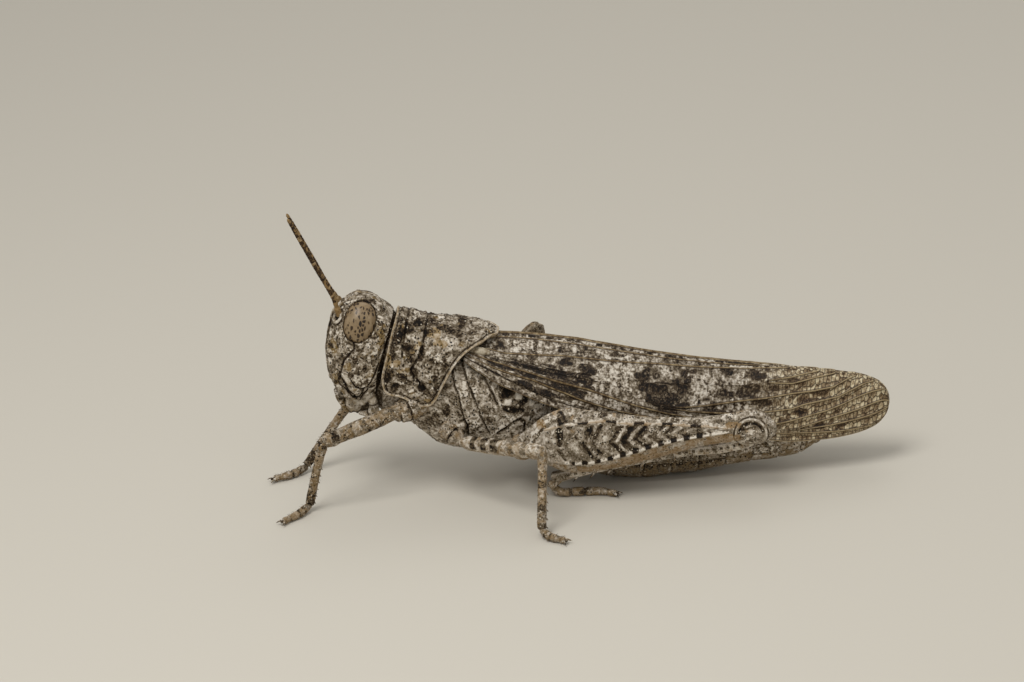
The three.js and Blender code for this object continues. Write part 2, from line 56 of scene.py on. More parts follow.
def through(rows, at, tame=True):  # a smooth value of every column at each place of the first one
    rows = np.array(rows, float)
    x, y = rows[:, 0], rows[:, 1:]
    step = np.diff(x)[:, None]
    slope = np.diff(y, axis=0) / step
    tangent = np.zeros_like(y)
    tangent[0], tangent[-1] = slope[0], slope[-1]
    if tame:
        product = slope[:-1] * slope[1:]
        total = slope[:-1] + slope[1:]
        tangent[1:-1] = np.where(product > 0, 2 * product / np.where(product > 0, total, 1), 0)
    else:
        tangent[1:-1] = (slope[:-1] * step[1:] + slope[1:] * step[:-1]) / (step[:-1] + step[1:])
    at = np.clip(np.atleast_1d(np.asarray(at, float)), x[0], x[-1])
    i = np.clip(np.searchsorted(x, at, side="right") - 1, 0, len(x) - 2)
    gap = (x[i + 1] - x[i])[:, None]
    t = ((at - x[i]) / gap[:, 0])[:, None]
    a, b = y[i], y[i + 1]
    return (
        a * (1 + 2 * t) * (1 - t) ** 2
        + tangent[i] * gap * t * (1 - t) ** 2
        + b * t * t * (3 - 2 * t)
        + tangent[i + 1] * gap * t * t * (t - 1)
    )


def smoothPath(points, count):
    points = np.array(points, float)
    length = np.r_[0, np.cumsum(np.linalg.norm(np.diff(points[:, :3], axis=0), axis=1))]
    return through(np.column_stack([length, points]), np.linspace(0, length[-1], count), tame=False)


def ease(low, high, value):
    t = np.clip((value - low) / (high - low), 0, 1)
    return t * t * (3 - 2 * t)


def hashed(i, seed):
    i = i.astype(np.int64)
    n = (i[..., 0] * 73856093) ^ (i[..., 1] * 19349663) ^ (i[..., 2] * 83492791) ^ (seed * 2654435761)
    n = n & 0xFFFFFFFF
    n = ((n ^ (n >> 13)) * 1274126177) & 0xFFFFFFFF
    n = ((n ^ (n >> 15)) * 2246822519) & 0xFFFFFFFF
    return ((n ^ (n >> 16)) & 0xFFFF) / 65535.0


def cloud(p, size, seed, octaves=2):  # soft noise from -1 to 1
    total, part, norm = 0.0, 1.0, 0.0
    for octave in range(octaves):
        q = p / size * 2**octave + 31.7 * octave
        i = np.floor(q)
        f = q - i
        f = f * f * (3 - 2 * f)
        value = 0.0
        for dx in (0, 1):
            for dy in (0, 1):
                for dz in (0, 1):
                    weight = (
                        (f[..., 0] if dx else 1 - f[..., 0])
                        * (f[..., 1] if dy else 1 - f[..., 1])
                        * (f[..., 2] if dz else 1 - f[..., 2])
                    )
                    value = value + weight * hashed(i + np.array([dx, dy, dz]), seed + octave)
        total = total + part * (2 * value - 1)
        norm += part
        part *= 0.5
    return total / norm


def pebbles(p, size, seed):  # 1 on the crown of each granule, 0 between them, and a value for each
    q = p / size
    i = np.floor(q)
    near = np.full(q.shape[:-1], 9.0)
    second = np.full(q.shape[:-1], 9.0)
    tone = np.zeros(q.shape[:-1])
    for dx in (-1, 0, 1):
        for dy in (-1, 0, 1):
            for dz in (-1, 0, 1):
                cell = i + np.array([dx, dy, dz])
                jitter = np.stack([hashed(cell, seed + k) for k in (1, 2, 3)], -1)
                d = np.linalg.norm(q - cell - jitter, axis=-1)
                closer = d < near
                second = np.where(closer, near, np.minimum(second, d))
                tone = np.where(closer, hashed(cell, seed + 4), tone)
                near = np.where(closer, d, near)
    return np.clip((second - near) * 1.6, 0, 1), tone


def lineDistance(a, b, line):
    best = np.full(np.shape(a), 1e9)
    for (a0, b0), (a1, b1) in zip(line[:-1], line[1:]):
        da, db = a1 - a0, b1 - b0
        t = np.clip(((a - a0) * da + (b - b0) * db) / (da * da + db * db), 0, 1)
        best = np.minimum(best, np.hypot(a - a0 - t * da, b - b0 - t * db))
    return best


def bell(distance, width, power=2):  # 1 in the middle, fading out over the width
    return np.exp(-((distance / width) ** power))


def mound(a, wide, b, high, power=2):
    return np.exp(-((a / wide) ** power) - (b / high) ** power)


def along(a, b, line, width):  # 1 on a drawn line, fading over its width
    return bell(lineDistance(a, b, line), width)


def smudges(a, b, spots, ragged=0.0):  # soft-edged patches: centre a, centre b, half sizes, strength
    total = np.zeros(np.shape(a))
    for a0, b0, wide, high, strength in spots:
        r = np.sqrt(((a - a0) / wide) ** 2 + ((b - b0) / high) ** 2) + ragged
        total = np.maximum(total, strength * (1 - ease(0.6, 1.15, r)))
    return total


def unit(v):
    return v / np.maximum(np.linalg.norm(v, axis=-1, keepdims=True), 1e-12)


def normalsOf(p, wrap=True):
    along0 = np.gradient(p, axis=0)
    along1 = (np.roll(p, -1, 1) - np.roll(p, 1, 1)) / 2 if wrap else np.gradient(p, axis=1)
    n = unit(np.cross(along0, along1))
    if wrap and np.mean(np.sum(n * (p - p.mean(1, keepdims=True)), -1)) < 0:
        n = -n
    return n


def roughened(grid, depth, size, seed):
    return grid + normalsOf(grid) * (depth * cloud(grid, size, seed))[..., None]


def stations(low, high, count, capLow, capHigh, capCount=9):  # places along a loft and its scale there
    turn = np.linspace(math.pi / 2 * 0.98, 0, capCount, endpoint=False)
    middle = np.linspace(low, high, count)
    place = np.r_[low - capLow * np.sin(turn), middle, high + capHigh * np.sin(turn[::-1])]
    return place, np.r_[np.cos(turn), np.ones(count), np.cos(turn[::-1])]


def fullTurn(count):
    return np.linspace(0, 2 * math.pi, count, endpoint=False)


def ovalRing(angle, square):  # round to boxy outline: across and up, for each angle from the top
    c, s = np.cos(angle), np.sin(angle)
    r = (np.abs(c) ** square + np.abs(s) ** square) ** (-1 / square)
    return s * r, c * r


def tube(path, across, up, around, caps=(0.2, 0.2), square=2.0, hint=(0, 0, 1)):
    path = np.asarray(path, float)
    across = np.broadcast_to(np.asarray(across, float), len(path))
    up = np.broadcast_to(np.asarray(up, float), len(path))
    tangent = unit(np.gradient(path, axis=0))
    turn = np.linspace(math.pi / 2 * 0.97, 0, 6, endpoint=False)
    start = path[0] - tangent[0] * caps[0] * np.sin(turn)[:, None]
    end = path[-1] + tangent[-1] * caps[1] * np.sin(turn[::-1])[:, None]
    centre = np.vstack([start, path, end])
    tangent = np.vstack([np.tile(tangent[0], (6, 1)), tangent, np.tile(tangent[-1], (6, 1))])
    scale = np.r_[np.cos(turn), np.ones(len(path)), np.cos(turn[::-1])]
    across = np.r_[np.full(6, across[0]), across, np.full(6, across[-1])] * scale
    up = np.r_[np.full(6, up[0]), up, np.full(6, up[-1])] * scale
    side = unit(np.cross(tangent, np.array(hint, float)))
    top = np.cross(side, tangent)
    angle = fullTurn(around)
    x, z = ovalRing(angle, square)
    rings = (
        centre[:, None]
        + side[:, None] * (across[:, None] * x)[..., None]
        + top[:, None] * (up[:, None] * z)[..., None]
    )
    length = np.r_[0, np.cumsum(np.linalg.norm(np.diff(centre, axis=0), axis=1))]
    share = length / length[-1]
    return rings, np.repeat(share[:, None], around, 1), np.tile(angle, (len(centre), 1))


def gridPart(rings, marks, place=None, sheet=False):  # a closed loft, or a sheet whose ends are strips
    rows, around = rings.shape[:2]
    loop = np.arange(rows * around).reshape(rows, around)
    loop = np.hstack([loop, loop[:, :1]])
    quads = np.stack([loop[:-1, :-1], loop[1:, :-1], loop[1:, 1:], loop[:-1, 1:]], -1).reshape(-1, 4)
    points = rings.reshape(-1, 3)
    if place is None:
        place = np.zeros(rings.shape)
    elif place.ndim == 2:
        place = np.repeat(place[..., None], 3, -1)
    marks, place = marks.reshape(-1, 3), place.reshape(-1, 3)
    tris = np.zeros((0, 3), int)
    if sheet:
        k = np.arange(around // 2 - 1)
        for base, turned in ((0, False), ((rows - 1) * around, True)):
            cap = base + np.stack([k, k + 1, around - 2 - k, around - 1 - k], -1)
            quads = np.vstack([quads, cap[:, ::-1] if turned else cap])
    else:
        hubs = np.stack([rings[0].mean(0), rings[-1].mean(0)])
        k = np.arange(around)
        after = (k + 1) % around
        last = (rows - 1) * around
        first = np.full(around, len(points))
        second = np.full(around, len(points) + 1)
        tris = np.vstack([np.stack([k, after, first], -1), np.stack([last + after, last + k, second], -1)])
        points = np.vstack([points, hubs])
        marks, place = (np.vstack([data, data[:1], data[-1:]]) for data in (marks, place))
    a, b, c, d = (points[quads[:, j]] for j in range(4))
    volume = np.sum(a * np.cross(b, c)) + np.sum(a * np.cross(c, d))
    if len(tris):
        volume += np.sum(points[tris[:, 0]] * np.cross(points[tris[:, 1]], points[tris[:, 2]]))
    if volume < 0:
        quads, tris = quads[:, ::-1], tris[:, ::-1]
    return {"points": points, "quads": quads, "tris": tris, "marks": marks, "place": place}


def marksOf(shape, dark=0.0, pale=0.0, warm=0.0):
    return np.clip(np.stack([np.broadcast_to(m, shape) for m in (dark, pale, warm)], -1), 0, 2)


def addObject(name, data):
    item = bpy.data.objects.new(name, data)
    bpy.context.scene.collection.objects.link(item)
    return item


def makePiece(name, parts, material, nodes):
    sizes = [len(part["points"]) for part in parts]
    starts = np.cumsum([0, *sizes[:-1]])
    points, marks, place = (np.vstack([part[key] for part in parts]) for key in ("points", "marks", "place"))
    quads, tris = (
        np.vstack([part[key] + start for part, start in zip(parts, starts)]) for key in ("quads", "tris")
    )
    mesh = bpy.data.meshes.new(name)
    mesh.vertices.add(len(points))
    mesh.vertices.foreach_set("co", (points * mm).astype(np.float32).ravel())
    corners = np.r_[quads.ravel(), tris.ravel()]
    starts = np.r_[np.arange(len(quads)) * 4, len(quads) * 4 + np.arange(len(tris)) * 3]
    mesh.loops.add(len(corners))
    mesh.loops.foreach_set("vertex_index", corners.astype(np.int32))
    mesh.polygons.add(len(starts))
    mesh.polygons.foreach_set("loop_start", starts.astype(np.int32))
    mesh.polygons.foreach_set("use_smooth", np.ones(len(starts), bool))
    mesh.update(calc_edges=True)
    for label, data in (("marks", marks), ("guide", place)):
        attribute = mesh.attributes.new(label, "FLOAT_VECTOR", "POINT")
        attribute.data.foreach_set("vector", data.astype(np.float32).ravel())
    mesh.materials.append(material)
    mesh.validate()
    piece = addObject(name, mesh)
    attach(piece, "root")
    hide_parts(*nodes)


sides = (("left", -1), ("right", 1))


def toLinear(hexColour):
    channels = [int(hexColour[i : i + 2], 16) / 255 for i in (1, 3, 5)]
    return [c / 12.92 if c <= 0.04045 else ((c + 0.055) / 1.055) ** 2.4 for c in channels] + [1.0]


# an input is a fixed value, a socket, or a node that stands for its first output
def addNode(tree, kind, settings=None, inputs=()):
    node = tree.nodes.new("ShaderNode" + kind)
    for key, value in (settings or {}).items():
        if key == "stops":
            ramp = node.color_ramp
            while len(ramp.elements) > 1:
                ramp.elements.remove(ramp.elements[-1])
            ramp.elements[0].position, ramp.elements[0].color = value[0][0], toLinear(value[0][1])
            for position, colour in value[1:]:
                ramp.elements.new(position).color = toLinear(colour)
        else:
            setattr(node, key, value)
    for key, value in inputs.items() if isinstance(inputs, dict) else enumerate(inputs):
        value = value.outputs[0] if isinstance(value, bpy.types.Node) else value
        if isinstance(value, bpy.types.NodeSocket):
            tree.links.new(value, node.inputs[key])
        else:
            node.inputs[key].default_value = value
    return node


def newMaterial(name):
    material = bpy.data.materials.new(name)
    material.use_nodes = True
    material.node_tree.nodes.clear()
    return material


def shadeWith(tree, shader):
    addNode(tree, "OutputMaterial", {}, {"Surface": addNode(tree, "BsdfPrincipled", {}, shader)})


def skinParts(tree):  # the place in mm and the painted marks: dark, pale, warm
    coord = addNode(tree, "TexCoord").outputs["Object"]
    place = addNode(tree, "VectorMath", {"operation": "SCALE"}, {0: coord, "Scale": 1 / mm})
    painted = addNode(tree, "Attribute", {"attribute_name": "marks"}).outputs["Vector"]
    return place, addNode(tree, "SeparateXYZ", {}, [painted]).outputs


multiplied = {"operation": "MULTIPLY"}
weighted = {"operation": "MULTIPLY_ADD"}
coloured = {"data_type": "RGBA"}  # mixes two colours: share in 0, colours in 6 and 7, result in 2
markEdge = {"rise": 0.15, "wholeFrom": 1.15, "wholeTo": 1.35}


def layered(tree, value, layers):  # adds each layer times its weight
    for layer, weight in layers:
        value = addNode(tree, "Math", weighted, [layer, weight, value])
    return value


def tornMark(tree, mark, tear, full, reach):  # a painted mark breaks up along its rim, and a strong one stays whole
    torn = addNode(tree, "Math", multiplied, [tear, mark])
    smooth = {"interpolation_type": "SMOOTHSTEP"}
    torn = addNode(tree, "MapRange", smooth, [torn, markEdge["rise"], full, 0.0, reach])
    whole = addNode(tree, "MapRange", {}, [mark, markEdge["wholeFrom"], markEdge["wholeTo"]])
    return addNode(tree, "Math", {"operation": "MAXIMUM"}, [torn, whole])


# Chitin cuticle, hardened plate by plate and finely granulated: matt, with pale grains on a dark mottle.
def granulatedCuticle(name, look):
    material = newMaterial(name)
    tree = material.node_tree
    place, marks = skinParts(tree)
    guide = addNode(tree, "Attribute", {"attribute_name": "guide"}).outputs["Vector"]
    bend = addNode(tree, "TexNoise", {}, {"Vector": place, "Scale": 1.6, "Detail": 2.0}).outputs["Color"]
    place = addNode(tree, "VectorMath", weighted, [bend, (0.35,) * 3, place])
    calm = addNode(tree, "SeparateXYZ", {}, [guide])
    clouds = []
    spread = [(look["blotch"], 3.0, 0.0), (look["spot"], 2.0, 4.0), (look["spot"] / 2, 1.0, 6.0)]
    spread += [(look["blotch"] * 0.7, 2.0, 9.0), (look["grain"] / 2, 1.0, 2.0)]
    spread += [(look["spot"] * 2.2, 1.0, shift) for *_, shift in look["specks"]]
    for size, detail, shift in spread:
        inputs = {"Vector": place, "W": shift, "Scale": 1 / size, "Detail": detail, "Roughness": 0.6}
        clouds.append(addNode(tree, "TexNoise", {"noise_dimensions": "4D"}, inputs))
    blotch, spot, fine, rust, relief, *gates = clouds
    grain = addNode(tree, "TexVoronoi", {}, {"Vector": place, "Scale": 1 / look["grain"]})
    layers = [(blotch, look["blotchGain"]), (spot, look["spotGain"]), (fine, look["fineGain"])]
    start = look["base"] - 0.5 * sum(weight for _, weight in layers)
    tone = layered(tree, start, [*layers, (grain, -look["grainGain"])])
    tone = addNode(tree, "Mix", {"data_type": "FLOAT"}, {0: calm, 2: tone, 3: look["base"] - 0.06})
    tear = layered(tree, -4.7, [(fine, 4.0), (spot, 7.0)])
    darkness, paleness = (tornMark(tree, marks[kind], tear, 0.8, 0.8) for kind in (0, 1))
    tone = layered(tree, tone, [(paleness, look["paleGain"]), (darkness, -look["darkGain"])])
    colour = addNode(tree, "ValToRGB", {"stops": look["tones"]}, [tone])
    # ochre and rusty patches, more of them where the marks ask
    rust = layered(tree, rust, [(marks[2], 0.42), (darkness, -0.5)])
    start = 1 - look["ochreShare"]
    share = addNode(tree, "MapRange", {}, [rust, start, start + 0.12, 0.0, look["ochreDepth"]])
    colour = addNode(tree, "Mix", coloured, {0: share, 6: colour, 7: toLinear(look["ochre"])}).outputs[2]
    # scattered cream grains, then near-black pits
    for (size, reach, hexColour, share, _), gate in zip(look["specks"], gates):
        speck = addNode(tree, "TexVoronoi", {}, {"Vector": place, "Scale": 1 / size})
        inside = addNode(tree, "MapRange", {}, [speck, reach * 0.7, reach, 1.0, 0.0])
        chosen = addNode(tree, "SeparateXYZ", {}, [speck.outputs["Color"]])
        chosen = layered(tree, chosen, [(gate, 1.2)])
        chosen = addNode(tree, "MapRange", {}, [chosen, 1.55 - share, 1.65 - share])
        inside = addNode(tree, "Math", multiplied, [inside, chosen])
        inside = addNode(tree, "Math", {"operation": "SUBTRACT", "use_clamp": True}, [inside, calm])
        colour = addNode(tree, "Mix", coloured, {0: inside, 6: colour, 7: toLinear(hexColour)}).outputs[2]
    rough = layered(tree, look["rough"] - 0.5 * look["roughSpread"], [(spot, look["roughSpread"])])
    height = layered(tree, 0.6, [(relief, 0.5), (grain, -1.0)])
    height = {"Strength": look["bump"], "Distance": 0.22 * look["grain"] * mm, "Height": height}
    shader = {"Base Color": colour, "Roughness": rough, "Normal": addNode(tree, "Bump", {}, height)}
    shadeWith(tree, {**shader, "IOR": 1.55, "Specular IOR Level": 0.13})
    return material


cuticleTones = [
    (0.0, "#0f0903"), (0.14, "#22170b"), (0.3, "#453828"), (0.48, "#6f6350"), (0.62, "#8e8271"), (0.8, "#b3a898"),
    (1.0, "#d6cdbe"),
]
# sizes in mm, of a patch, a spot and a granule; a real granule is about 0.05 wide, drawn twice as coarse to show
shellLook = {
    "blotch": 0.8, "spot": 0.31, "grain": 0.12,
    "blotchGain": 0.8, "spotGain": 1.8, "fineGain": 1.2, "grainGain": 0.3,
    "base": 0.74, "paleGain": 0.3, "darkGain": 0.62, "tones": cuticleTones,
    "ochre": "#9a7f50", "ochreShare": 0.4, "ochreDepth": 0.5,
    # scattered grains: size, reach, colour, share, shift
    "specks": [(0.2, 0.3, "#c3b8a4", 0.22, 21.0), (0.17, 0.36, "#0e0905", 0.5, 33.0)],
    "rough": 0.7, "roughSpread": 0.25, "bump": 0.55,
}
faceLook = {
    "blotch": 0.7, "spot": 0.28, "grain": 0.1, "spotGain": 1.6, "fineGain": 1.1,
    "ochre": "#8c7240", "ochreShare": 0.46,
}
bellyLook = {
    "blotch": 0.9, "spot": 0.28, "base": 0.82, "spotGain": 1.6,
    "ochre": "#7b6748", "ochreShare": 0.36, "ochreDepth": 0.7,
}
legLook = {
    "blotch": 0.6, "spot": 0.24, "grain": 0.09, "base": 0.76, "blotchGain": 0.6, "spotGain": 1.2, "fineGain": 0.6,
    "ochre": "#8b7047", "ochreShare": 0.42, "darkGain": 0.6,
    "specks": [(0.17, 0.3, "#c9bda8", 0.36, 21.0), (0.16, 0.32, "#1a130b", 0.42, 33.0)],
}
mouthLook = {
    "blotch": 0.6, "spot": 0.3, "grain": 0.09, "base": 0.79, "blotchGain": 0.5, "spotGain": 1.0, "fineGain": 0.6,
    "grainGain": 0.15, "ochre": "#8f7a54", "ochreShare": 0.34, "specks": [(0.2, 0.3, "#2a2014", 0.3, 33.0)],
    "rough": 0.6, "bump": 0.35,
}
shellCuticle = granulatedCuticle("granulatedShellCuticle", shellLook)
headCuticle = granulatedCuticle("granulatedFaceCuticle", {**shellLook, **faceLook})
bellyCuticle = granulatedCuticle("foldedBellyCuticle", {**shellLook, **bellyLook})
legCuticle = granulatedCuticle("granulatedLegCuticle", {**shellLook, **legLook})
mouthCuticle = granulatedCuticle("smoothMouthpartCuticle", {**shellLook, **mouthLook})
print("cuticle materials")


eyeShape = {
    "centre": (-11.16, 1.26, 3.54), "half": (0.95, 0.69, 1.27), "inward": 0.45, "forward": -0.17, "square": 2.25,
    "spotSize": 0.25, "spotShare": 0.6,
    "tones": [(0.0, "#1e140a"), (0.25, "#46331d"), (0.5, "#725d40"), (0.75, "#8d795c"), (1.0, "#a8977c")],
    "facets": 18.0,  # in a millimetre; the real ones are 0.025 mm wide, too fine to show
}


def eyeLocal(s, y, h):  # head point, y counted outward, as seen from the eye's own middle
    x, z = s - eyeShape["centre"][0], h - eyeShape["centre"][2]
    y = y - eyeShape["centre"][1]
    c, n = math.cos(eyeShape["forward"]), math.sin(eyeShape["forward"])
    x, z = x * c + z * n, -x * n + z * c
    c, n = math.cos(eyeShape["inward"]), math.sin(eyeShape["inward"])
    return x, y * c + z * n, -y * n + z * c


def makeEye(side):
    lift = np.linspace(-1, 1, 121)[1:-1] * math.pi / 2
    turn = fullTurn(200)
    a, b = np.meshgrid(lift, turn, indexing="ij")
    square = eyeShape["square"]
    ring = (np.abs(np.cos(b)) ** square + np.abs(np.sin(b)) ** square) ** (-1 / square)
    x = eyeShape["half"][0] * np.cos(a) * np.cos(b) * ring
    z = eyeShape["half"][2] * np.cos(a) * np.sin(b) * ring
    y = eyeShape["half"][1] * np.sin(a)
    c, n = math.cos(eyeShape["inward"]), math.sin(eyeShape["inward"])
    y, z = y * c - z * n, y * n + z * c
    c, n = math.cos(-eyeShape["forward"]), math.sin(-eyeShape["forward"])
    x, z = x * c + z * n, -x * n + z * c
    cx, cy, cz = eyeShape["centre"]
    points = fromTrunk(np.stack([cx + x, side * (cy + y), cz + z], -1))
    edge = 1 - np.sin(a)
    spots, tone = pebbles(np.stack([x * 1.6, y * 1.2, z * 0.8], -1) + 5 * side, eyeShape["spotSize"], 5)
    dark = (tone > 1 - eyeShape["spotShare"]) * ease(0.2, 0.5, spots + 0.25 * cloud(points, 0.2, 6)) * (edge < 0.85)
    dark = np.maximum(dark, 0.55 * ease(0.6, 0.85, edge))
    return gridPart(points, marksOf(x.shape, dark, 0.35 * (edge < 0.5)))


# Compound eye, thousands of clear chitin lenses over pigment: a soft gloss broken by the facets.
def facettedEye():
    material = newMaterial("facettedEyeLens")
    tree = material.node_tree
    place, marks = skinParts(tree)
    mottle = addNode(tree, "TexNoise", {}, {"Vector": place, "Scale": 2.4, "Detail": 3.0})
    tone = layered(tree, 0.42, [(mottle, 0.55), (marks[0], -0.62)])
    colour = addNode(tree, "ValToRGB", {"stops": eyeShape["tones"]}, [tone])
    facets = addNode(tree, "TexVoronoi", {}, {"Vector": place, "Scale": eyeShape["facets"], "Randomness": 0.2})
    rough = layered(tree, 0.3, [(facets, 0.25)])
    height = {"Strength": 0.35, "Distance": 0.008 * mm, "Height": layered(tree, 1.0, [(facets, -1.0)])}
    shader = {"Base Color": colour, "Roughness": rough, "Normal": addNode(tree, "Bump", {}, height), "IOR": 1.5}
    shadeWith(tree, {**shader, "Specular IOR Level": 0.3, "Coat Weight": 0.2, "Coat Roughness": 0.2})
    return material


eyeLens = facettedEye()
for label, side in sides:
    makePiece(f"eyeLens{label.title()}", [makeEye(side)], eyeLens, [f"eye_{label}"])
print("eyes")


shieldShape = {
    "hoops": [
        [-9.4, 1.98, 4.16, 0.4], [-9.3, 2.02, 4.2, -0.15], [-9.1, 2.06, 4.22, -0.56], [-8.8, 2.1, 4.21, -0.68],
        [-8.3, 2.14, 4.17, -0.7], [-7.9, 2.17, 4.1, -0.78], [-7.4, 2.2, 4.03, -1.02], [-6.9, 2.28, 3.99, -1.12],
        [-6.4, 2.38, 4, -1], [-6.05, 2.46, 4.01, -0.6], [-5.7, 2.54, 4.01, 0.45], [-5.1, 2.66, 4, 2.05],
        [-4.4, 2.68, 3.94, 2.95], [-3.6, 2.5, 3.9, 3.42], [-3.1, 2.2, 3.76, 3.62], [-2.74, 1.9, 3.66, 3.63],
    ],
    "lean": [(-1.0, 0.0), (0.6, -0.05), (1.95, 0.1), (3.3, 0.24), (4.3, 0.42)],
    "centre": 0.9,
    "sag": 4.4,
    "square": 2.5,
    "thick": 0.3,
    "rows": 200,
    "around": 226,
    "granule": 0.21,
    "sulcus": [
        (-6.75, 0.1), (-7.08, 0.41), (-7.53, 0.79), (-7.78, 1.2), (-7.53, 1.68), (-7.29, 2.26), (-7.21, 2.93),
        (-7.15, 3.4), (-7.12, 4.2),
    ],
    "firstSulcus": [(-8.35, 1.9), (-8.42, 2.6), (-8.35, 3.3), (-8.3, 4.3)],
    "boss": (-6.2, 2.8, 0.82),
    "dark": [
        (-8.35, 3.6, 0.55, 0.3, 1), (-8.8, 3.95, 0.35, 0.14, 0.8), (-8.05, 2.55, 0.36, 0.42, 0.9),
        (-7.47, 1.1, 0.26, 0.45, 1), (-5.75, 3.8, 0.6, 0.17, 1), (-5.05, 3.95, 0.3, 0.1, 0.7),
        (-7.2, 2.35, 0.18, 0.5, 1), (-9.05, 0.6, 0.22, 0.5, 0.9), (-6.97, 0.3, 0.3, 0.3, 0.9),
        (-8.6, -0.25, 0.35, 0.15, 0.8), (-6.5, 2, 0.3, 0.2, 0.6), (-6.5, -0.2, 0.3, 0.25, 0.7),
        (-7.8, 0.4, 0.25, 0.22, 0.6), (-7, 3.55, 0.4, 0.22, 0.9), (-5.15, 2.75, 0.28, 0.2, 0.8),
        (-8.7, 2.9, 0.3, 0.35, 0.8), (-8.9, 1.9, 0.16, 0.3, 0.6), (-5.7, 1.6, 0.2, 0.3, 0.5),
        (-7.9, 1.9, 0.2, 0.25, 0.7), (-6.9, 3.9, 0.5, 0.1, 0.7), (-8.35, 0.75, 0.25, 0.2, 0.6),
        (-6, 0.3, 0.25, 0.3, 0.5), (-4.3, 3.75, 0.3, 0.08, 0.6), (-7.2, -0.75, 0.3, 0.12, 0.6),
        (-7.75, 3.85, 0.35, 0.16, 1.1), (-8.7, 3.2, 0.28, 0.3, 1.12), (-8.15, 2.6, 0.3, 0.36, 1.15),
        (-7.75, 1.95, 0.2, 0.32, 1.12), (-8.5, 0.05, 0.3, 0.2, 1.05), (-8.1, 0.7, 0.25, 0.2, 1.05),
        (-7, 0.2, 0.28, 0.28, 1.12), (-5.9, 3.85, 0.35, 0.12, 1.1),
    ],
    "pale": [
        (-7.5, 2.75, 0.22, 0.28, 1), (-6.1, 3.35, 0.5, 0.16, 0.4), (-9, 1.3, 0.2, 0.3, 0.8),
        (-8.1, 0.3, 0.4, 0.22, 0.9), (-7.35, -0.25, 0.4, 0.22, 0.9), (-6.75, -0.75, 0.35, 0.14, 0.8),
        (-6.2, 2.4, 0.3, 0.3, 0.6), (-6.6, 1.15, 0.3, 0.35, 0.7), (-7.75, 3.2, 0.25, 0.2, 0.7),
        (-8.85, 2.35, 0.2, 0.25, 0.8), (-4.4, 3.5, 0.5, 0.15, 0.6), (-6.5, 4, 0.5, 0.07, 0.7),
        (-7.8, 4.1, 0.4, 0.08, 0.7), (-8.2, 1.4, 0.3, 0.25, 0.5), (-5.5, 2.3, 0.25, 0.25, 0.5),
    ],
    "warm": [
        (-9.15, 1.5, 0.25, 0.5, 0.8), (-8.2, 3.7, 0.5, 0.12, 0.8), (-6.6, 3.5, 0.6, 0.25, 1),
        (-8, 1, 0.5, 0.4, 0.5), (-7.9, 2.2, 0.3, 0.3, 0.5), (-6.2, 3.1, 0.5, 0.2, 1.1),
        (-7.47, 2.8, 0.25, 0.28, 1.1), (-8.64, 1.5, 0.25, 0.22, 1), (-6.4, -0.6, 0.4, 0.15, 1),
        (-8.3, 1.95, 0.2, 0.2, 0.9),
    ],
}


def leanAt(h):  # how far back the shield's front edge lies at each height
    return np.interp(h, *np.array(shieldShape["lean"]).T)


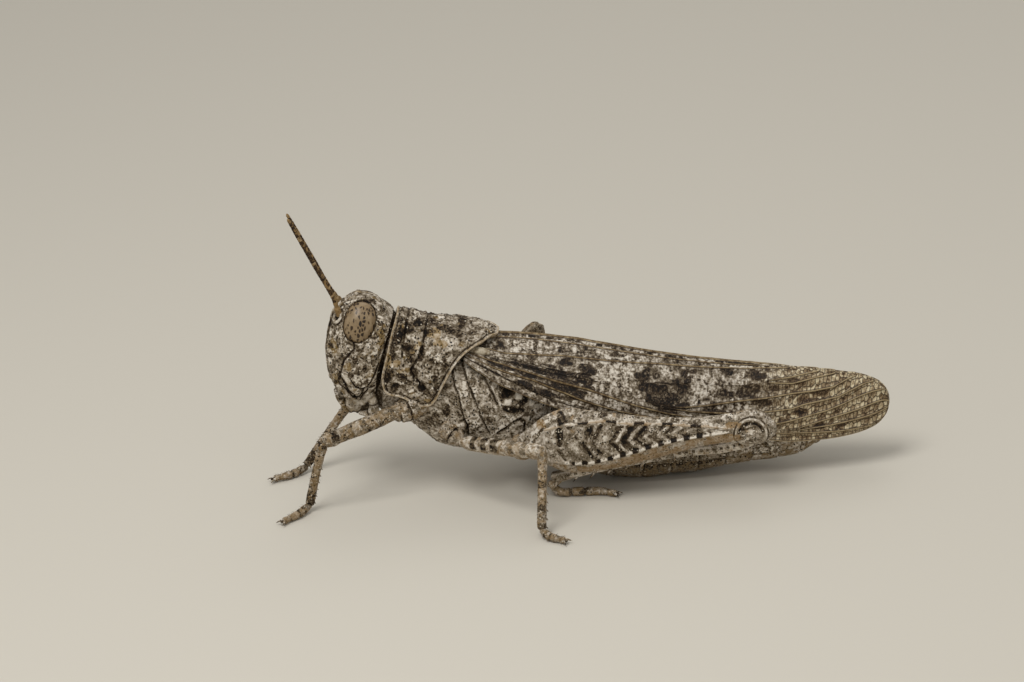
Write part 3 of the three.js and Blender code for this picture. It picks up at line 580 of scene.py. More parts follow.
headShape = {
    "span": (-1.4, 4.84), "caps": (0.12, 0.07), "rows": 200, "around": 330, "granule": 0.2,
    "costa": [(-0.8, 0.6), (1.0, 0.48), (3.0, 0.36), (4.4, 0.3)],  # height and half width of the facial ridge
    "collarGap": [(0.0, 0.11), (1.5, 0.08), (3.2, 0.05)],
    "swellings": [(-11.05, -0.65, 0.42, 0.4, 0.1), (-10.15, -0.95, 0.28, 0.5, 0.14)],
    "simpleEyes": [(-12.98, 0.0, 2.85), (-12.35, 0.72, 4.18)],
    "sections": [
        [-1.4, -12.16, -9.5, 1.62], [-0.6, -12.56, -9.28, 1.94], [0.4, -12.88, -9.02, 2.12],
        [1.4, -13.04, -8.92, 2.14], [2.4, -13.03, -8.9, 2.04], [3.4, -12.88, -8.85, 1.82],
        [4.1, -12.45, -9.3, 1.46], [4.5, -12.15, -9.95, 1.1], [4.86, -11.8, -10.45, 0.6],
    ],
    "square": 2.5,
    "socket": (-12.52, 0.95, 3.56),
    "furrow": [(-11.35, 2.41), (-11.27, 2.09), (-11.62, 1.60), (-11.84, 1.24), (-11.93, 0.57), (-11.96, -0.10)],
    "cheekRim": [
        (-11.35, 0.12), (-11.22, -0.07), (-10.97, -0.37), (-10.56, -0.5), (-10.23, -0.31), (-10.08, 0),
        (-9.88, 0.6), (-9.7, 1.3),
    ],
    "jawSeams": [
        [(-12.1, 0.0), (-11.99, -0.44), (-11.53, -0.66), (-11.13, -1.13), (-10.94, -1.25)],
        [(-10.48, -0.53), (-10.53, -0.87), (-10.68, -1.13), (-10.9, -1.25)],
        [(-10.46, -1.6), (-10.56, -1.25), (-10.38, -0.79), (-10.15, -0.43), (-9.85, -0.3)],
        [(-11.7, -0.25), (-11.35, -0.7), (-10.95, -1.02)],
    ],
    "paleBar": [(-11.84, 0.33), (-11.38, -0.27)],
    "sideCarina": [(1.0, 2.9), (1.16, 1.6), (1.38, 0.2), (1.5, -0.8)],
    "vertexCarina": [(-12.42, 0.3), (-12.1, 0.66), (-11.4, 0.82), (-10.6, 0.9), (-10.0, 1.1)],
    "dark": [
        (-12.95, 3, 0.14, 0.35, 0.9), (-12.72, 1.83, 0.16, 0.25, 0.8), (-12.71, 1.17, 0.13, 0.2, 0.8),
        (-12.05, 0.26, 0.14, 0.26, 1), (-12.2, -0.43, 0.13, 0.25, 0.8), (-12.41, 0.76, 0.14, 0.3, 0.7),
        (-11.3, -0.8, 0.2, 0.14, 0.7), (-12.56, 0.19, 0.1, 0.35, 0.7), (-11.96, 1.49, 0.13, 0.25, 0.9),
        (-11.6, 1.64, 0.14, 0.2, 0.8), (-11.15, 1.3, 0.18, 0.25, 0.8), (-10.95, 2.05, 0.3, 0.13, 0.8),
        (-10.44, 2.95, 0.16, 0.2, 0.8), (-10.3, -0.02, 0.2, 0.2, 0.9), (-11.34, 0.36, 0.2, 0.22, 0.7),
        (-9.96, 3.7, 0.25, 0.16, 0.8), (-9.9, 4.3, 0.2, 0.12, 0.8), (-9.75, 3.2, 0.12, 0.4, 0.7),
        (-10.5, 0.85, 0.22, 0.3, 0.9), (-10.1, 1.35, 0.2, 0.25, 0.7), (-10.85, 0.75, 0.14, 0.3, 0.6),
        (-10.6, 1.6, 0.2, 0.14, 0.6), (-9.75, 2, 0.1, 0.5, 0.6), (-12.35, 2.4, 0.2, 0.3, 0.6),
        (-11, 4.75, 0.6, 0.13, 0.7), (-10.4, 4.4, 0.25, 0.12, 0.7), (-12.6, 2.7, 0.12, 0.25, 0.5),
        (-11.65, -0.3, 0.13, 0.14, 0.7),
    ],
    "smooth": [(-11.2, -0.75, 0.42, 0.34), (-10.25, -0.95, 0.22, 0.55), (-11.6, -0.1, 0.16, 0.3)],
    "pits": [(-10.94, -1.21, 0.17, 0.15, 1.6), (-11.8, -1.25, 0.12, 0.12, 1.3)],
    "pale": [
        (-10.8, 0.15, 0.35, 0.3, 0.9), (-10.15, -0.95, 0.25, 0.5, 1), (-11, -0.7, 0.35, 0.3, 0.8),
        (-11.6, 2, 0.2, 0.25, 0.8), (-10.16, 1.84, 0.2, 0.25, 0.7), (-10.03, 3.95, 0.3, 0.12, 0.8),
        (-10.2, 0.7, 0.2, 0.25, 0.7), (-11.5, -0.05, 0.3, 0.2, 0.8), (-9.86, 2.4, 0.16, 0.35, 0.6),
        (-12.5, 2, 0.2, 0.3, 0.6), (-12.3, -0.75, 0.25, 0.2, 0.6), (-11.3, 4.55, 0.4, 0.1, 0.7),
        (-10.4, 3.4, 0.15, 0.2, 0.6),
    ],
    "warm": [
        (-12.6, 1.9, 0.35, 0.45, 0.8), (-11.6, 0.9, 0.28, 0.35, 0.6), (-9.75, 2.8, 0.2, 0.8, 0.7),
        (-12.2, -0.2, 0.3, 0.4, 0.5),
    ],
}


def makeHead():
    shape = headShape
    place, scale = stations(*shape["span"], shape["rows"], *shape["caps"])
    front, rear, width = through(shape["sections"], place).T
    angle = fullTurn(shape["around"])
    across, back = ovalRing(angle, shape["square"])
    half = ((rear - front) / 2 * scale)[:, None]
    s = ((front + rear) / 2)[:, None] - half * back
    y = (width * scale)[:, None] * across
    h = np.repeat(place[:, None], len(angle), 1)
    side = np.sign(y) + (y == 0)
    forward = ease(0.2, 0.7, back)[None] * np.ones_like(h)
    # the capsule sinks round each eye and rises in a rim at its edge
    ex, ey, ez = eyeLocal(s, np.abs(y), h)
    e = np.hypot(ex / eyeShape["half"][0], ez / eyeShape["half"][2])
    sunk = np.where(e < 0.94, -0.1, 0.17)
    near = 1 - ease(1.02, 1.6, e)
    y = side * (np.abs(y) - np.maximum(0, ey - sunk) * near)
    grid = np.stack([s, y, h], -1)
    normal = normalsOf(grid)
    reach = ease(-0.55, -0.15, ey)
    q = np.abs(y)
    lateral = ease(0.55, 0.95, q)
    lift = 0.07 * bell(e - 1.1, 0.055) * reach - 0.06 * bell(e - 0.99, 0.035) * reach
    dark = 1.5 * bell(e - 1.0, 0.045) * reach
    pale = 0.5 * bell(e - 1.12, 0.05) * reach
    # frontal costa: a raised band with a furrow down its middle
    costa = np.interp(h, *np.array(shape["costa"]).T)
    upright = ease(-0.75, -0.55, h) * (1 - ease(4.35, 4.6, h)) * forward
    edge = bell(q - costa, 0.085) * upright
    lift += 0.1 * edge - 0.07 * bell(y, 0.55 * costa) * upright
    pale += 0.45 * edge
    dark += 0.9 * bell(q - costa - 0.15, 0.07) * upright
    carina = along(q, h, shape["sideCarina"], 0.09) * forward
    lift += 0.08 * carina
    pale += 0.4 * carina
    # feeler sockets
    d = np.sqrt((s - shape["socket"][0]) ** 2 + (q - shape["socket"][1]) ** 2 + (h - shape["socket"][2]) ** 2)
    lift += 0.09 * bell(d - 0.33, 0.06) - 0.16 * (1 - ease(0.12, 0.29, d))
    dark += 1.6 * (1 - ease(0.16, 0.28, d)) + 1.3 * bell(d - 0.5, 0.05)
    pale += 1.5 * bell(d - 0.36, 0.05)
    # furrow under the eye, cheek rim, jaws
    furrow = along(s, h, shape["furrow"], 0.06) * lateral
    lift -= 0.07 * furrow
    dark += 1.5 * furrow
    ridge = along(s - 0.13, h, shape["furrow"], 0.07) * lateral
    lift += 0.04 * ridge
    pale += 0.35 * ridge
    rim = along(s, h, shape["cheekRim"], 0.055) * lateral
    cheek = along(s, h - 0.12, shape["cheekRim"], 0.08) * lateral
    lift += 0.06 * cheek - 0.1 * rim
    dark += 1.6 * rim
    pale += 0.5 * cheek
    for seam in shape["jawSeams"]:
        groove = along(s, h, seam, 0.055) * lateral
        lift -= 0.09 * groove
        dark += 1.6 * groove
    for s0, h0, ws, wh, rise in shape["swellings"]:
        lift += rise * mound(s - s0, ws, h - h0, wh) * lateral
    bar = along(s, h, shape["paleBar"], 0.07) * lateral
    lift += 0.06 * bar
    pale += 1.8 * bar
    dark += 1.5 * along(s + 0.14, h + 0.1, shape["paleBar"], 0.06) * lateral
    # suture over the clypeus
    brow = bell(h + 0.72 + 0.1 * q, 0.05) * forward * (q < 1.5)
    lift -= 0.07 * brow
    dark += 0.6 * brow
    # vertex: a shallow cup between two carinae, with a fine line down its middle
    top = ease(3.9, 4.4, h)
    crown = along(s, q, shape["vertexCarina"], 0.07) * top
    lift += 0.07 * crown + 0.03 * bell(y, 0.05) * top
    lift -= 0.05 * mound(s + 11.9, 0.45, q, 0.45) * top
    pale += 0.5 * crown
    dark += 0.35 * along(s, q - 0.13, shape["vertexCarina"], 0.07) * top
    # three simple eyes
    for s0, q0, h0 in shape["simpleEyes"]:
        r = np.sqrt((s - s0) ** 2 + (q - q0) ** 2 + (h - h0) ** 2)
        lift += 0.08 * (1 - ease(0.03, 0.13, r)) - 0.03 * bell(r - 0.16, 0.03)
        dark += 0.6 * bell(r - 0.15, 0.04)
        pale += 0.8 * (1 - ease(0.06, 0.12, r))
    # pebbled, wrinkled skin of the capsule
    calm = np.clip(1.3 * (e - 1.0), 0, 1)
    rough = cloud(grid, 0.55, 3)
    grains = pebbles(grid, shape["granule"], 11)[0]
    lift += calm * (0.035 * rough + 0.035 * (grains - 0.4))
    ragged = 0.5 * cloud(grid, 0.3, 8)
    dark += smudges(s, h, shape["dark"], ragged) * ease(0.2, 0.5, q) + smudges(s, h, shape["pits"]) * lateral
    pale += 0.8 * smudges(s, h, shape["pale"], ragged) * lateral
    lift -= 0.08 * smudges(s, h, shape["pits"]) * lateral
    # the gap before the collar: a shallow groove with painted shadow in it
    collar = -9.5 + leanAt(h)
    half = np.interp(h, *np.array(shape["collarGap"]).T)
    gap = 1 - ease(0.5, 1.1, (collar - half - s) / half)
    lift -= 0.14 * gap
    dark += 1.25 * gap
    pale *= 1 - gap
    # the rear of the capsule stays under the collar
    points = grid + normal * (lift * (1 - 0.5 * ease(0.3, 0.8, -back))[None])[..., None]
    marks = marksOf(s.shape, dark, pale, smudges(s, h, shape["warm"], ragged))
    smooth = sum(mound(s - s0, ws, h - h0, wh, 4) for s0, h0, ws, wh in shape["smooth"]) * lateral
    calm = np.clip(0.85 * smooth + 0.7 * bell(d - 0.36, 0.09, 4), 0, 0.85)
    return gridPart(fromTrunk(points), marks, calm)


makePiece("headCapsule", [makeHead()], headCuticle, ["head"])
print("head")


mouthShape = {
    "labrum": [
        [-2.62, -11.36, 0.26, 0.72], [-2.35, -11.5, 0.3, 0.9], [-2, -11.76, 0.3, 1.02],
        [-1.45, -12, 0.28, 1.14],
    ],
    "mandible": [
        [-2.55, -10.95, 0.36, 0.62, 0.3], [-2.1, -10.95, 0.5, 0.86, 0.42], [-1.45, -10.98, 0.56, 1, 0.46],
    ],
    "maxilla": [
        [-2.62, -10.3, 0.5, 0.42, 0.38], [-2.2, -10.2, 0.75, 0.52, 0.52], [-1.7, -10.15, 0.85, 0.6, 0.6],
        [-1.1, -10.1, 0.7, 0.65, 0.65],
    ],
    "galea": [[-1.75, -10.42, 0.22, 1.12, 0.3], [-1.4, -10.38, 0.3, 1.15, 0.36], [-1.0, -10.28, 0.3, 1.15, 0.36]],
    "outerPalp": [
        [-10.2, 1.05, -1.2], [-9.9, 1.25, -1.4], [-9.74, 1.25, -1.8], [-9.82, 1.15, -2.2], [-10.15, 1.08, -2.45],
        [-10.5, 1.02, -2.5],
    ],
    "innerPalp": [[-9.8, 0.62, -1.95], [-9.6, 0.72, -2.3], [-9.85, 0.72, -2.62], [-10.15, 0.7, -2.74]],
}


def lobe(sections, side, square, rows, around, caps):  # upright plate: h, s, half length, y, half width
    place, scale = stations(sections[0][0], sections[-1][0], rows, *caps)
    s, half, y, width = through(sections, place).T
    angle = fullTurn(around)
    across, back = ovalRing(angle, square)
    grid = np.stack(
        [
            s[:, None] - (half * scale)[:, None] * back,
            side * (y[:, None] + (width * scale)[:, None] * across),
            np.repeat(place[:, None], around, 1),
        ],
        -1,
    )
    return grid, np.tile(back, (len(place), 1))


def makeLabrum():
    sections = [[h, s, half, 0.0, width] for h, s, half, width in mouthShape["labrum"]]
    grid, back = lobe(sections, 1, 2.4, 60, 160, (0.12, 0.05))
    s, y, h = grid[..., 0], grid[..., 1], grid[..., 2]
    low = 1 - ease(-2.6, -2.2, h)
    grid[..., 2] += 0.16 * bell(y, 0.14) * low  # notch at the middle of the lower edge
    lift = -0.05 * bell(y, 0.09) * (back > 0) + 0.04 * bell(np.abs(y) - 0.45, 0.22)
    lift += -0.05 * bell(h + 1.72, 0.05) + 0.015 * cloud(grid, 0.3, 21)
    dark = 0.6 * bell(h + 1.72, 0.05) + 0.35 * ease(0.1, 0.6, cloud(grid, 0.4, 22))
    grid = grid + normalsOf(grid) * lift[..., None]
    return gridPart(fromTrunk(grid), marksOf(s.shape, dark, 0.3, 0.6 * low + 0.2))


def makeMandible(side):
    sections = mouthShape["mandible"]
    grid, back = lobe(sections, side, 2.4, 40, 90, (0.1, 0.05))
    low = 1 - ease(-2.6, -2.25, grid[..., 2])
    lift = 0.02 * cloud(grid, 0.25, 23) + 0.05 * low * np.sin(grid[..., 0] * 14)
    grid = grid + normalsOf(grid) * lift[..., None]
    return gridPart(fromTrunk(grid), marksOf(back.shape, 1.3 * low, 0.25, 0.5))


def makeLobe(name, side, dark, pale):
    grid, back = lobe(mouthShape[name], side, 2.2, 44, 90, (0.14, 0.1))
    grid[..., 1] = side * np.maximum(side * grid[..., 1], 0.03)
    return gridPart(fromTrunk(roughened(grid, 0.02, 0.3, 26)), marksOf(back.shape, dark, pale, 0.4))


def makePalp(points, radii, side, pinches):
    path = smoothPath([[s, side * y, h] for s, y, h in points], 60)
    share = np.linspace(0, 1, 60)
    radius = np.interp(share, np.linspace(0, 1, len(radii)), radii)
    for pinch in pinches:
        radius = radius * (1 - 0.28 * bell(share - pinch, 0.025))
    rings, length, _ = tube(path, radius, radius, 28, (0.1, 0.12), hint=(1, 0.2, 0.1))
    dark = sum(1.4 * bell(length - pinch, 0.03) for pinch in pinches)
    return gridPart(fromTrunk(roughened(rings, 0.01, 0.15, 24)), marksOf(length.shape, dark, 0.5, 0.45))


for label, side in sides:
    makePiece(f"mandible{label.title()}", [makeMandible(side)], mouthCuticle, [f"mandible_{label}"])
    palps = [
        makeLobe("maxilla", side, 1.25, 0.0),
        makeLobe("galea", side, 0.0, 1.2),
        makePalp(mouthShape["outerPalp"], [0.26, 0.3, 0.28, 0.25, 0.2, 0.13], side, [0.36, 0.72]),
        makePalp(mouthShape["innerPalp"], [0.22, 0.22, 0.18, 0.12], side, [0.5]),
    ]
    makePiece(f"palps{label.title()}", palps, mouthCuticle, [f"palps_{label}"])
makePiece("labrum.plate", [makeLabrum()], headCuticle, ["labrum"])
print("mouthparts")


feelerShape = {
    "left": [[-15.5, 0.95, 11.9], [-15.72, 1.05, 12.9], [-16.6, 1.2, 15.1], [-18.0, 1.35, 18.4]],
    "right": [[-15.5, 0.95, 11.9], [-16.1, 1.0, 12.9], [-17.05, 1.0, 15.0], [-18.3, 0.9, 17.9]],
    "whip": 0.135,
    "joints": 23,
    "radius": [
        [0, 0.2], [0.07, 0.2], [0.085, 0.13], [0.12, 0.15], [0.135, 0.125], [0.5, 0.14], [0.85, 0.13],
        [1, 0.09],
    ],
    "darkRuns": [(0.16, 0.19), (0.22, 0.26), (0.3, 0.4), (0.43, 0.52), (0.57, 0.66), (0.7, 0.76), (0.86, 0.95)],
}


def jointOf(share):  # joints are counted from the end of the scape and pedicel
    return (share - feelerShape["whip"]) / (1 - feelerShape["whip"]) * feelerShape["joints"]


def makeFeeler(label, side):
    path = smoothPath([[x, side * y, z] for x, y, z in feelerShape[label]], 460)
    share = np.linspace(0, 1, len(path))
    knots = np.array(feelerShape["radius"])
    radius = np.interp(share, knots[:, 0], knots[:, 1])
    beat = np.abs(jointOf(share) % 1 - 0.5) * 2  # 1 at each joint
    radius = radius * (1 - (share > 0.14) * 0.2 * beat**8)
    rings, length, angle = tube(path, radius, radius, 30, (0.05, 0.08), hint=(0.3, 0.9, 0.1))
    rings = roughened(rings, 0.008, 0.12, 31)
    dark = sum(ease(a - 0.012, a, length) * (1 - ease(b, b + 0.012, length)) for a, b in feelerShape["darkRuns"])
    joint = np.floor(jointOf(length))
    picked = hashed(np.stack([joint, joint * 0, joint * 0], -1), 33) > 0.5
    fleck = picked * ease(-0.5, 0.4, np.cos(angle - 2.5) + cloud(rings, 0.2, 34)) * (length > 0.14)
    dark = np.maximum(dark * (0.75 + 0.3 * cloud(rings, 0.3, 32)), 1.15 * fleck) + 0.12
    pale = 0.9 * (length > 0.14) * (np.abs(jointOf(length) % 1 - 0.5) > 0.42)
    return gridPart(fromStance(rings), marksOf(length.shape, dark, pale, 0.3))


feelerLook = {
    "blotch": 0.5, "spot": 0.25, "grain": 0.06, "base": 0.78, "blotchGain": 0.25, "spotGain": 0.5, "fineGain": 0.6,
    "ochre": "#8f7145", "ochreShare": 0.5, "ochreDepth": 0.35, "specks": [(0.12, 0.3, "#2a1c0f", 0.35, 33.0)],
    "rough": 0.55, "bump": 0.3,
    "tones": [
        (0.0, "#1a1109"), (0.14, "#2d2012"), (0.3, "#483622"), (0.48, "#655033"), (0.62, "#7e6846"),
        (0.8, "#9b8463"), (1.0, "#c3b191"),
    ],
}
feelerCuticle = granulatedCuticle("ringedFeelerCuticle", {**shellLook, **feelerLook})
for label, side in sides:
    makePiece(f"feeler{label.title()}", [makeFeeler(label, side)], feelerCuticle, [f"antenna_{label}"])
print("feelers")


def evenRow(points, count):
    length = np.r_[0, np.cumsum(np.linalg.norm(np.diff(points, axis=0), axis=1))]
    even = np.linspace(0, length[-1], count)
    return np.stack([np.interp(even, length, points[:, j]) for j in range(points.shape[1])], -1)


def distanceTo(grid, border):  # from each point of a grid to the nearest point of a border
    flat = grid.reshape(-1, 3)
    best = np.empty(len(flat))
    for start in range(0, len(flat), 2048):
        block = flat[start : start + 2048]
        best[start : start + 2048] = np.sqrt(((block[:, None] - border[None]) ** 2).sum(-1).min(1))
    return best.reshape(grid.shape[:2])


def makeShield():
    shape = shieldShape
    place = np.linspace(shape["hoops"][0][0], shape["hoops"][-1][0], shape["rows"])
    grid = []
    for s, width, crest, low in zip(place, *through(shape["hoops"], place).T):
        centre = shape["centre"]
        share = min(0.999, abs(low - centre) / (shape["sag"] if low < centre else crest - centre))
        edge = math.acos(math.copysign(share ** (shape["square"] / 2), low - centre))
        angle = np.linspace(-edge, edge, 900)
        c, n = np.cos(angle), np.sin(angle)
        rise = np.sign(c) * np.abs(c) ** (2 / shape["square"])
        y = width * np.sign(n) * np.abs(n) ** (2 / shape["square"])
        h = centre + rise * np.where(rise < 0, shape["sag"], crest - centre)
        grid.append(evenRow(np.stack([np.full_like(y, s), y, h], -1), shape["around"]))
    grid = np.array(grid)
    grid[..., 0] += leanAt(grid[..., 2]) * (1 - ease(-9.4, -7.4, grid[..., 0]))
    normal = normalsOf(grid, wrap=False)
    if normal[20, shape["around"] // 2, 2] < 0:  # outward is up at the crest
        normal = -normal
    s, y, h = grid[..., 0], grid[..., 1], grid[..., 2]
    q = np.abs(y)
    rim = distanceTo(grid, np.vstack([grid[0], grid[-1], grid[:, 0], grid[:, -1]]))
    lift = 0.06 * bell(rim - 0.05, 0.05) - 0.06 * bell(rim - 0.21, 0.06)
    dark = 1.3 * bell(rim - 0.2, 0.045) * (q > 0.4)
    pale = (1.3 + 0.5 * cloud(grid, 0.25, 45)) * (1 - ease(0.05, 0.1, rim))
    groove = along(s, h, shape["sulcus"], 0.075) * (1 - 0.55 * ease(2.3, 3.2, h))
    groove += 0.6 * along(s, h, shape["firstSulcus"], 0.06)
    lift -= 0.14 * groove
    dark += 1.25 * groove
    lip = along(s + 0.16, h, shape["sulcus"], 0.1)
    lift += 0.035 * lip
    # median carina, notched by the two sulci
    keel = bell(y, 0.09) * (1 - 0.6 * bell(s + 7.15, 0.12)) * (1 - 0.8 * bell(s + 8.3, 0.1))
    keel = keel * ease(-9.5, -9.1, s)
    lift += 0.1 * keel
    pale += 0.35 * keel
    s0, h0, r0 = shape["boss"]
    r = np.hypot(s - s0, (h - h0) * 1.15)
    lift += 0.06 * bell(r - r0, 0.13) * (h < 3.75) - 0.03 * bell(r, 0.4) * (h < 3.8)
    pale += 0.3 * bell(r - r0, 0.12) * (h < 3.75)
    ringed = bell(np.hypot((s + 6.09) / 0.3, (h - 1.08) / 0.36) - 1, 0.3)
    lift += 0.04 * ringed
    pale += 0.3 * ringed
    grains, tone = pebbles(grid, shape["granule"], 41)
    wrinkle = cloud(grid, 0.6, 42)
    inner = ease(0.15, 0.35, rim)
    pebbled = np.where(s > -7.1, 0.06, 0.045) * (grains - 0.45)  # coarser behind the main groove
    lift += inner * (0.08 * wrinkle + 0.05 * cloud(grid, 0.3, 44) + pebbled)
    ragged = 0.55 * cloud(grid, 0.32, 43)
    dark += smudges(s, h, shape["dark"], ragged) * inner + 0.25 * (1 - grains) * inner
    pale += 0.6 * smudges(s, h, shape["pale"], ragged) * inner + 0.3 * (tone > 0.8) * grains * inner
    outer = grid + normal * lift[..., None]
    under = grid - normal * shape["thick"]
    marks = marksOf(s.shape, dark, pale, smudges(s, h, shape["warm"], ragged) + 0.7 * (1 - ease(0.07, 0.14, rim)))
    rings = np.concatenate([outer, under[:, ::-1]], 1)
    calm = 0.6 * (1 - ease(0.07, 0.14, rim))
    calm = np.concatenate([calm, calm[:, ::-1]], 1)
    return gridPart(fromTrunk(rings), np.concatenate([marks, 0.5 * marks[:, ::-1]], 1), calm, sheet=True)


makePiece("pronotumShield", [makeShield()], shellCuticle, ["pronotum"])
print("pronotum")


trunkShape = {
    "span": (-10.4, 17.35), "caps": (0.1, 0.45), "rows": 460, "around": 208, "square": 2.25, "granule": 0.24,
    "breastSeams": [-7.2, -5.15, -2.6, -0.3],
    "sections": [
        [-10.4, 1.1, 1.3, 1.9, 3.3], [-9.6, 1.5, 1.3, 2.2, 3.7], [-8.9, 1.8, 1.3, 2.4, 3.8],
        [-7.9, 1.9, 1, 2.75, 3.65], [-6.7, 2, 0.4, 3.2, 3.8], [-5.7, 2.1, 0, 3.2, 4],
        [-4.6, 2.4, -0.4, 2.8, 3.8], [-3, 2.55, -0.5, 2.9, 3.75], [-1.2, 2.5, -0.6, 2.9, 3.66],
        [0.2, 2.3, -0.8, 2.6, 3.5], [1.1, 2.12, -1.1, 2.3, 3.26], [3.3, 2.14, -1.6, 2.6, 3.1],
        [5.3, 2.1, -1.7, 2.6, 3.16], [7.1, 2.04, -1.7, 2.5, 3.03], [8.8, 1.94, -1.6, 2.4, 2.64],
        [10.4, 1.8, -1.5, 2.3, 2.33], [12, 1.64, -1.3, 2, 1.96], [13.6, 1.46, -1.05, 1.75, 1.72],
        [15.2, 1.3, -0.8, 1.45, 1.52], [16.5, 1.06, -0.5, 1, 1.36], [17.35, 0.7, -0.32, 0.6, 0.8],
    ],
    "rings": [1.15, 3.3, 5.3, 7.1, 8.8, 10.4, 12.0, 13.6, 15.2, 16.5, 17.5],
    "seams": [
        [
            (-5.3, 1.7), (-5, 0.61), (-4.69, 0.1), (-4.53, -0.43), (-4.31, -1.01), (-4.16, -1.44), (-3.91, -1.85),
            (-3.81, -2.51),
        ],
        [(-4.8, 2.1), (-4.42, 1.32), (-3.91, 0.39), (-3.51, -0.38), (-3.11, -1.17), (-2.73, -1.84), (-2.48, -2.25)],
        [(-3.6, 1.9), (-3.22, 1.30), (-2.6, 0.4), (-2.2, -0.26), (-1.83, -0.77), (-1.49, -1.11), (-1.31, -1.31)],
    ],
    "rims": [
        [(-5.75, -3.1), (-5.61, -2.75), (-5.23, -2.47), (-4.75, -2.19), (-4.46, -1.98)],
        [(-2.3, -2.2), (-1.83, -1.7), (-1.35, -1.37), (-1.09, -1.0), (-0.63, -0.61)],
        [(-2.2, -0.26), (-1.83, -0.77), (-1.49, -1.11), (-1.31, -1.31)],
    ],
    "grooves": [
        [(-5.42, -3.06), (-5.36, -2.76), (-4.93, -2.4), (-4.44, -2.25), (-4.06, -2.43)],
        [(-4.4, -1.75), (-4.15, -1.57), (-3.91, -1.87), (-3.81, -2.53)],
        [(-2.03, -2.09), (-1.52, -1.69), (-1.17, -1.19), (-0.78, -0.97), (-0.45, -1.21), (-0.43, -1.76)],
    ],
    "knobs": [
        (-1.66, 0.04, 0.25, 0.23, 1.05), (-1.02, 0.5, 0.22, 0.22, 1.4), (-0.2, 0.1, 0.24, 0.2, 0.9),
        (-4.22, -1.9, 0.24, 0.22, 0.5),
    ],
    "dark": [
        (-1.75, 0.5, 0.5, 0.5, 1.3), (-1.45, -0.4, 0.5, 0.36, 1.32), (-0.75, 0.1, 0.5, 0.45, 1.32),
        (-2.05, 0.9, 0.35, 0.35, 1.15), (-0.8, -0.4, 0.4, 0.25, 1.2), (-6.3, -2.2, 0.5, 0.4, 0.7),
        (-5.3, -1.1, 0.35, 0.4, 0.8), (-3.9, 0.95, 0.25, 0.3, 0.5), (-2.9, -0.6, 0.3, 0.3, 0.6),
        (-5.5, -2.2, 0.4, 0.3, 0.6), (-0.4, -0.5, 0.5, 0.4, 0.7), (-5, -0.1, 0.25, 0.3, 0.6),
        (-5.6, 0.4, 0.3, 0.3, 0.6), (-3.9, -0.6, 0.2, 0.3, 0.5), (-2.6, -1.2, 0.25, 0.2, 0.6),
        (-5.9, -1.6, 0.3, 0.25, 0.6),
    ],
    "pale": [
        (-4.31, 0.34, 0.3, 0.3, 0.9), (-2.15, -0.2, 0.1, 0.1, 0.3), (-4.4, 0.9, 0.2, 0.35, 0.5),
        (-3.7, 0.5, 0.16, 0.5, 0.4), (-3.4, -1.6, 0.3, 0.4, 0.5), (-6, -1.4, 0.3, 0.3, 0.4),
    ],
}


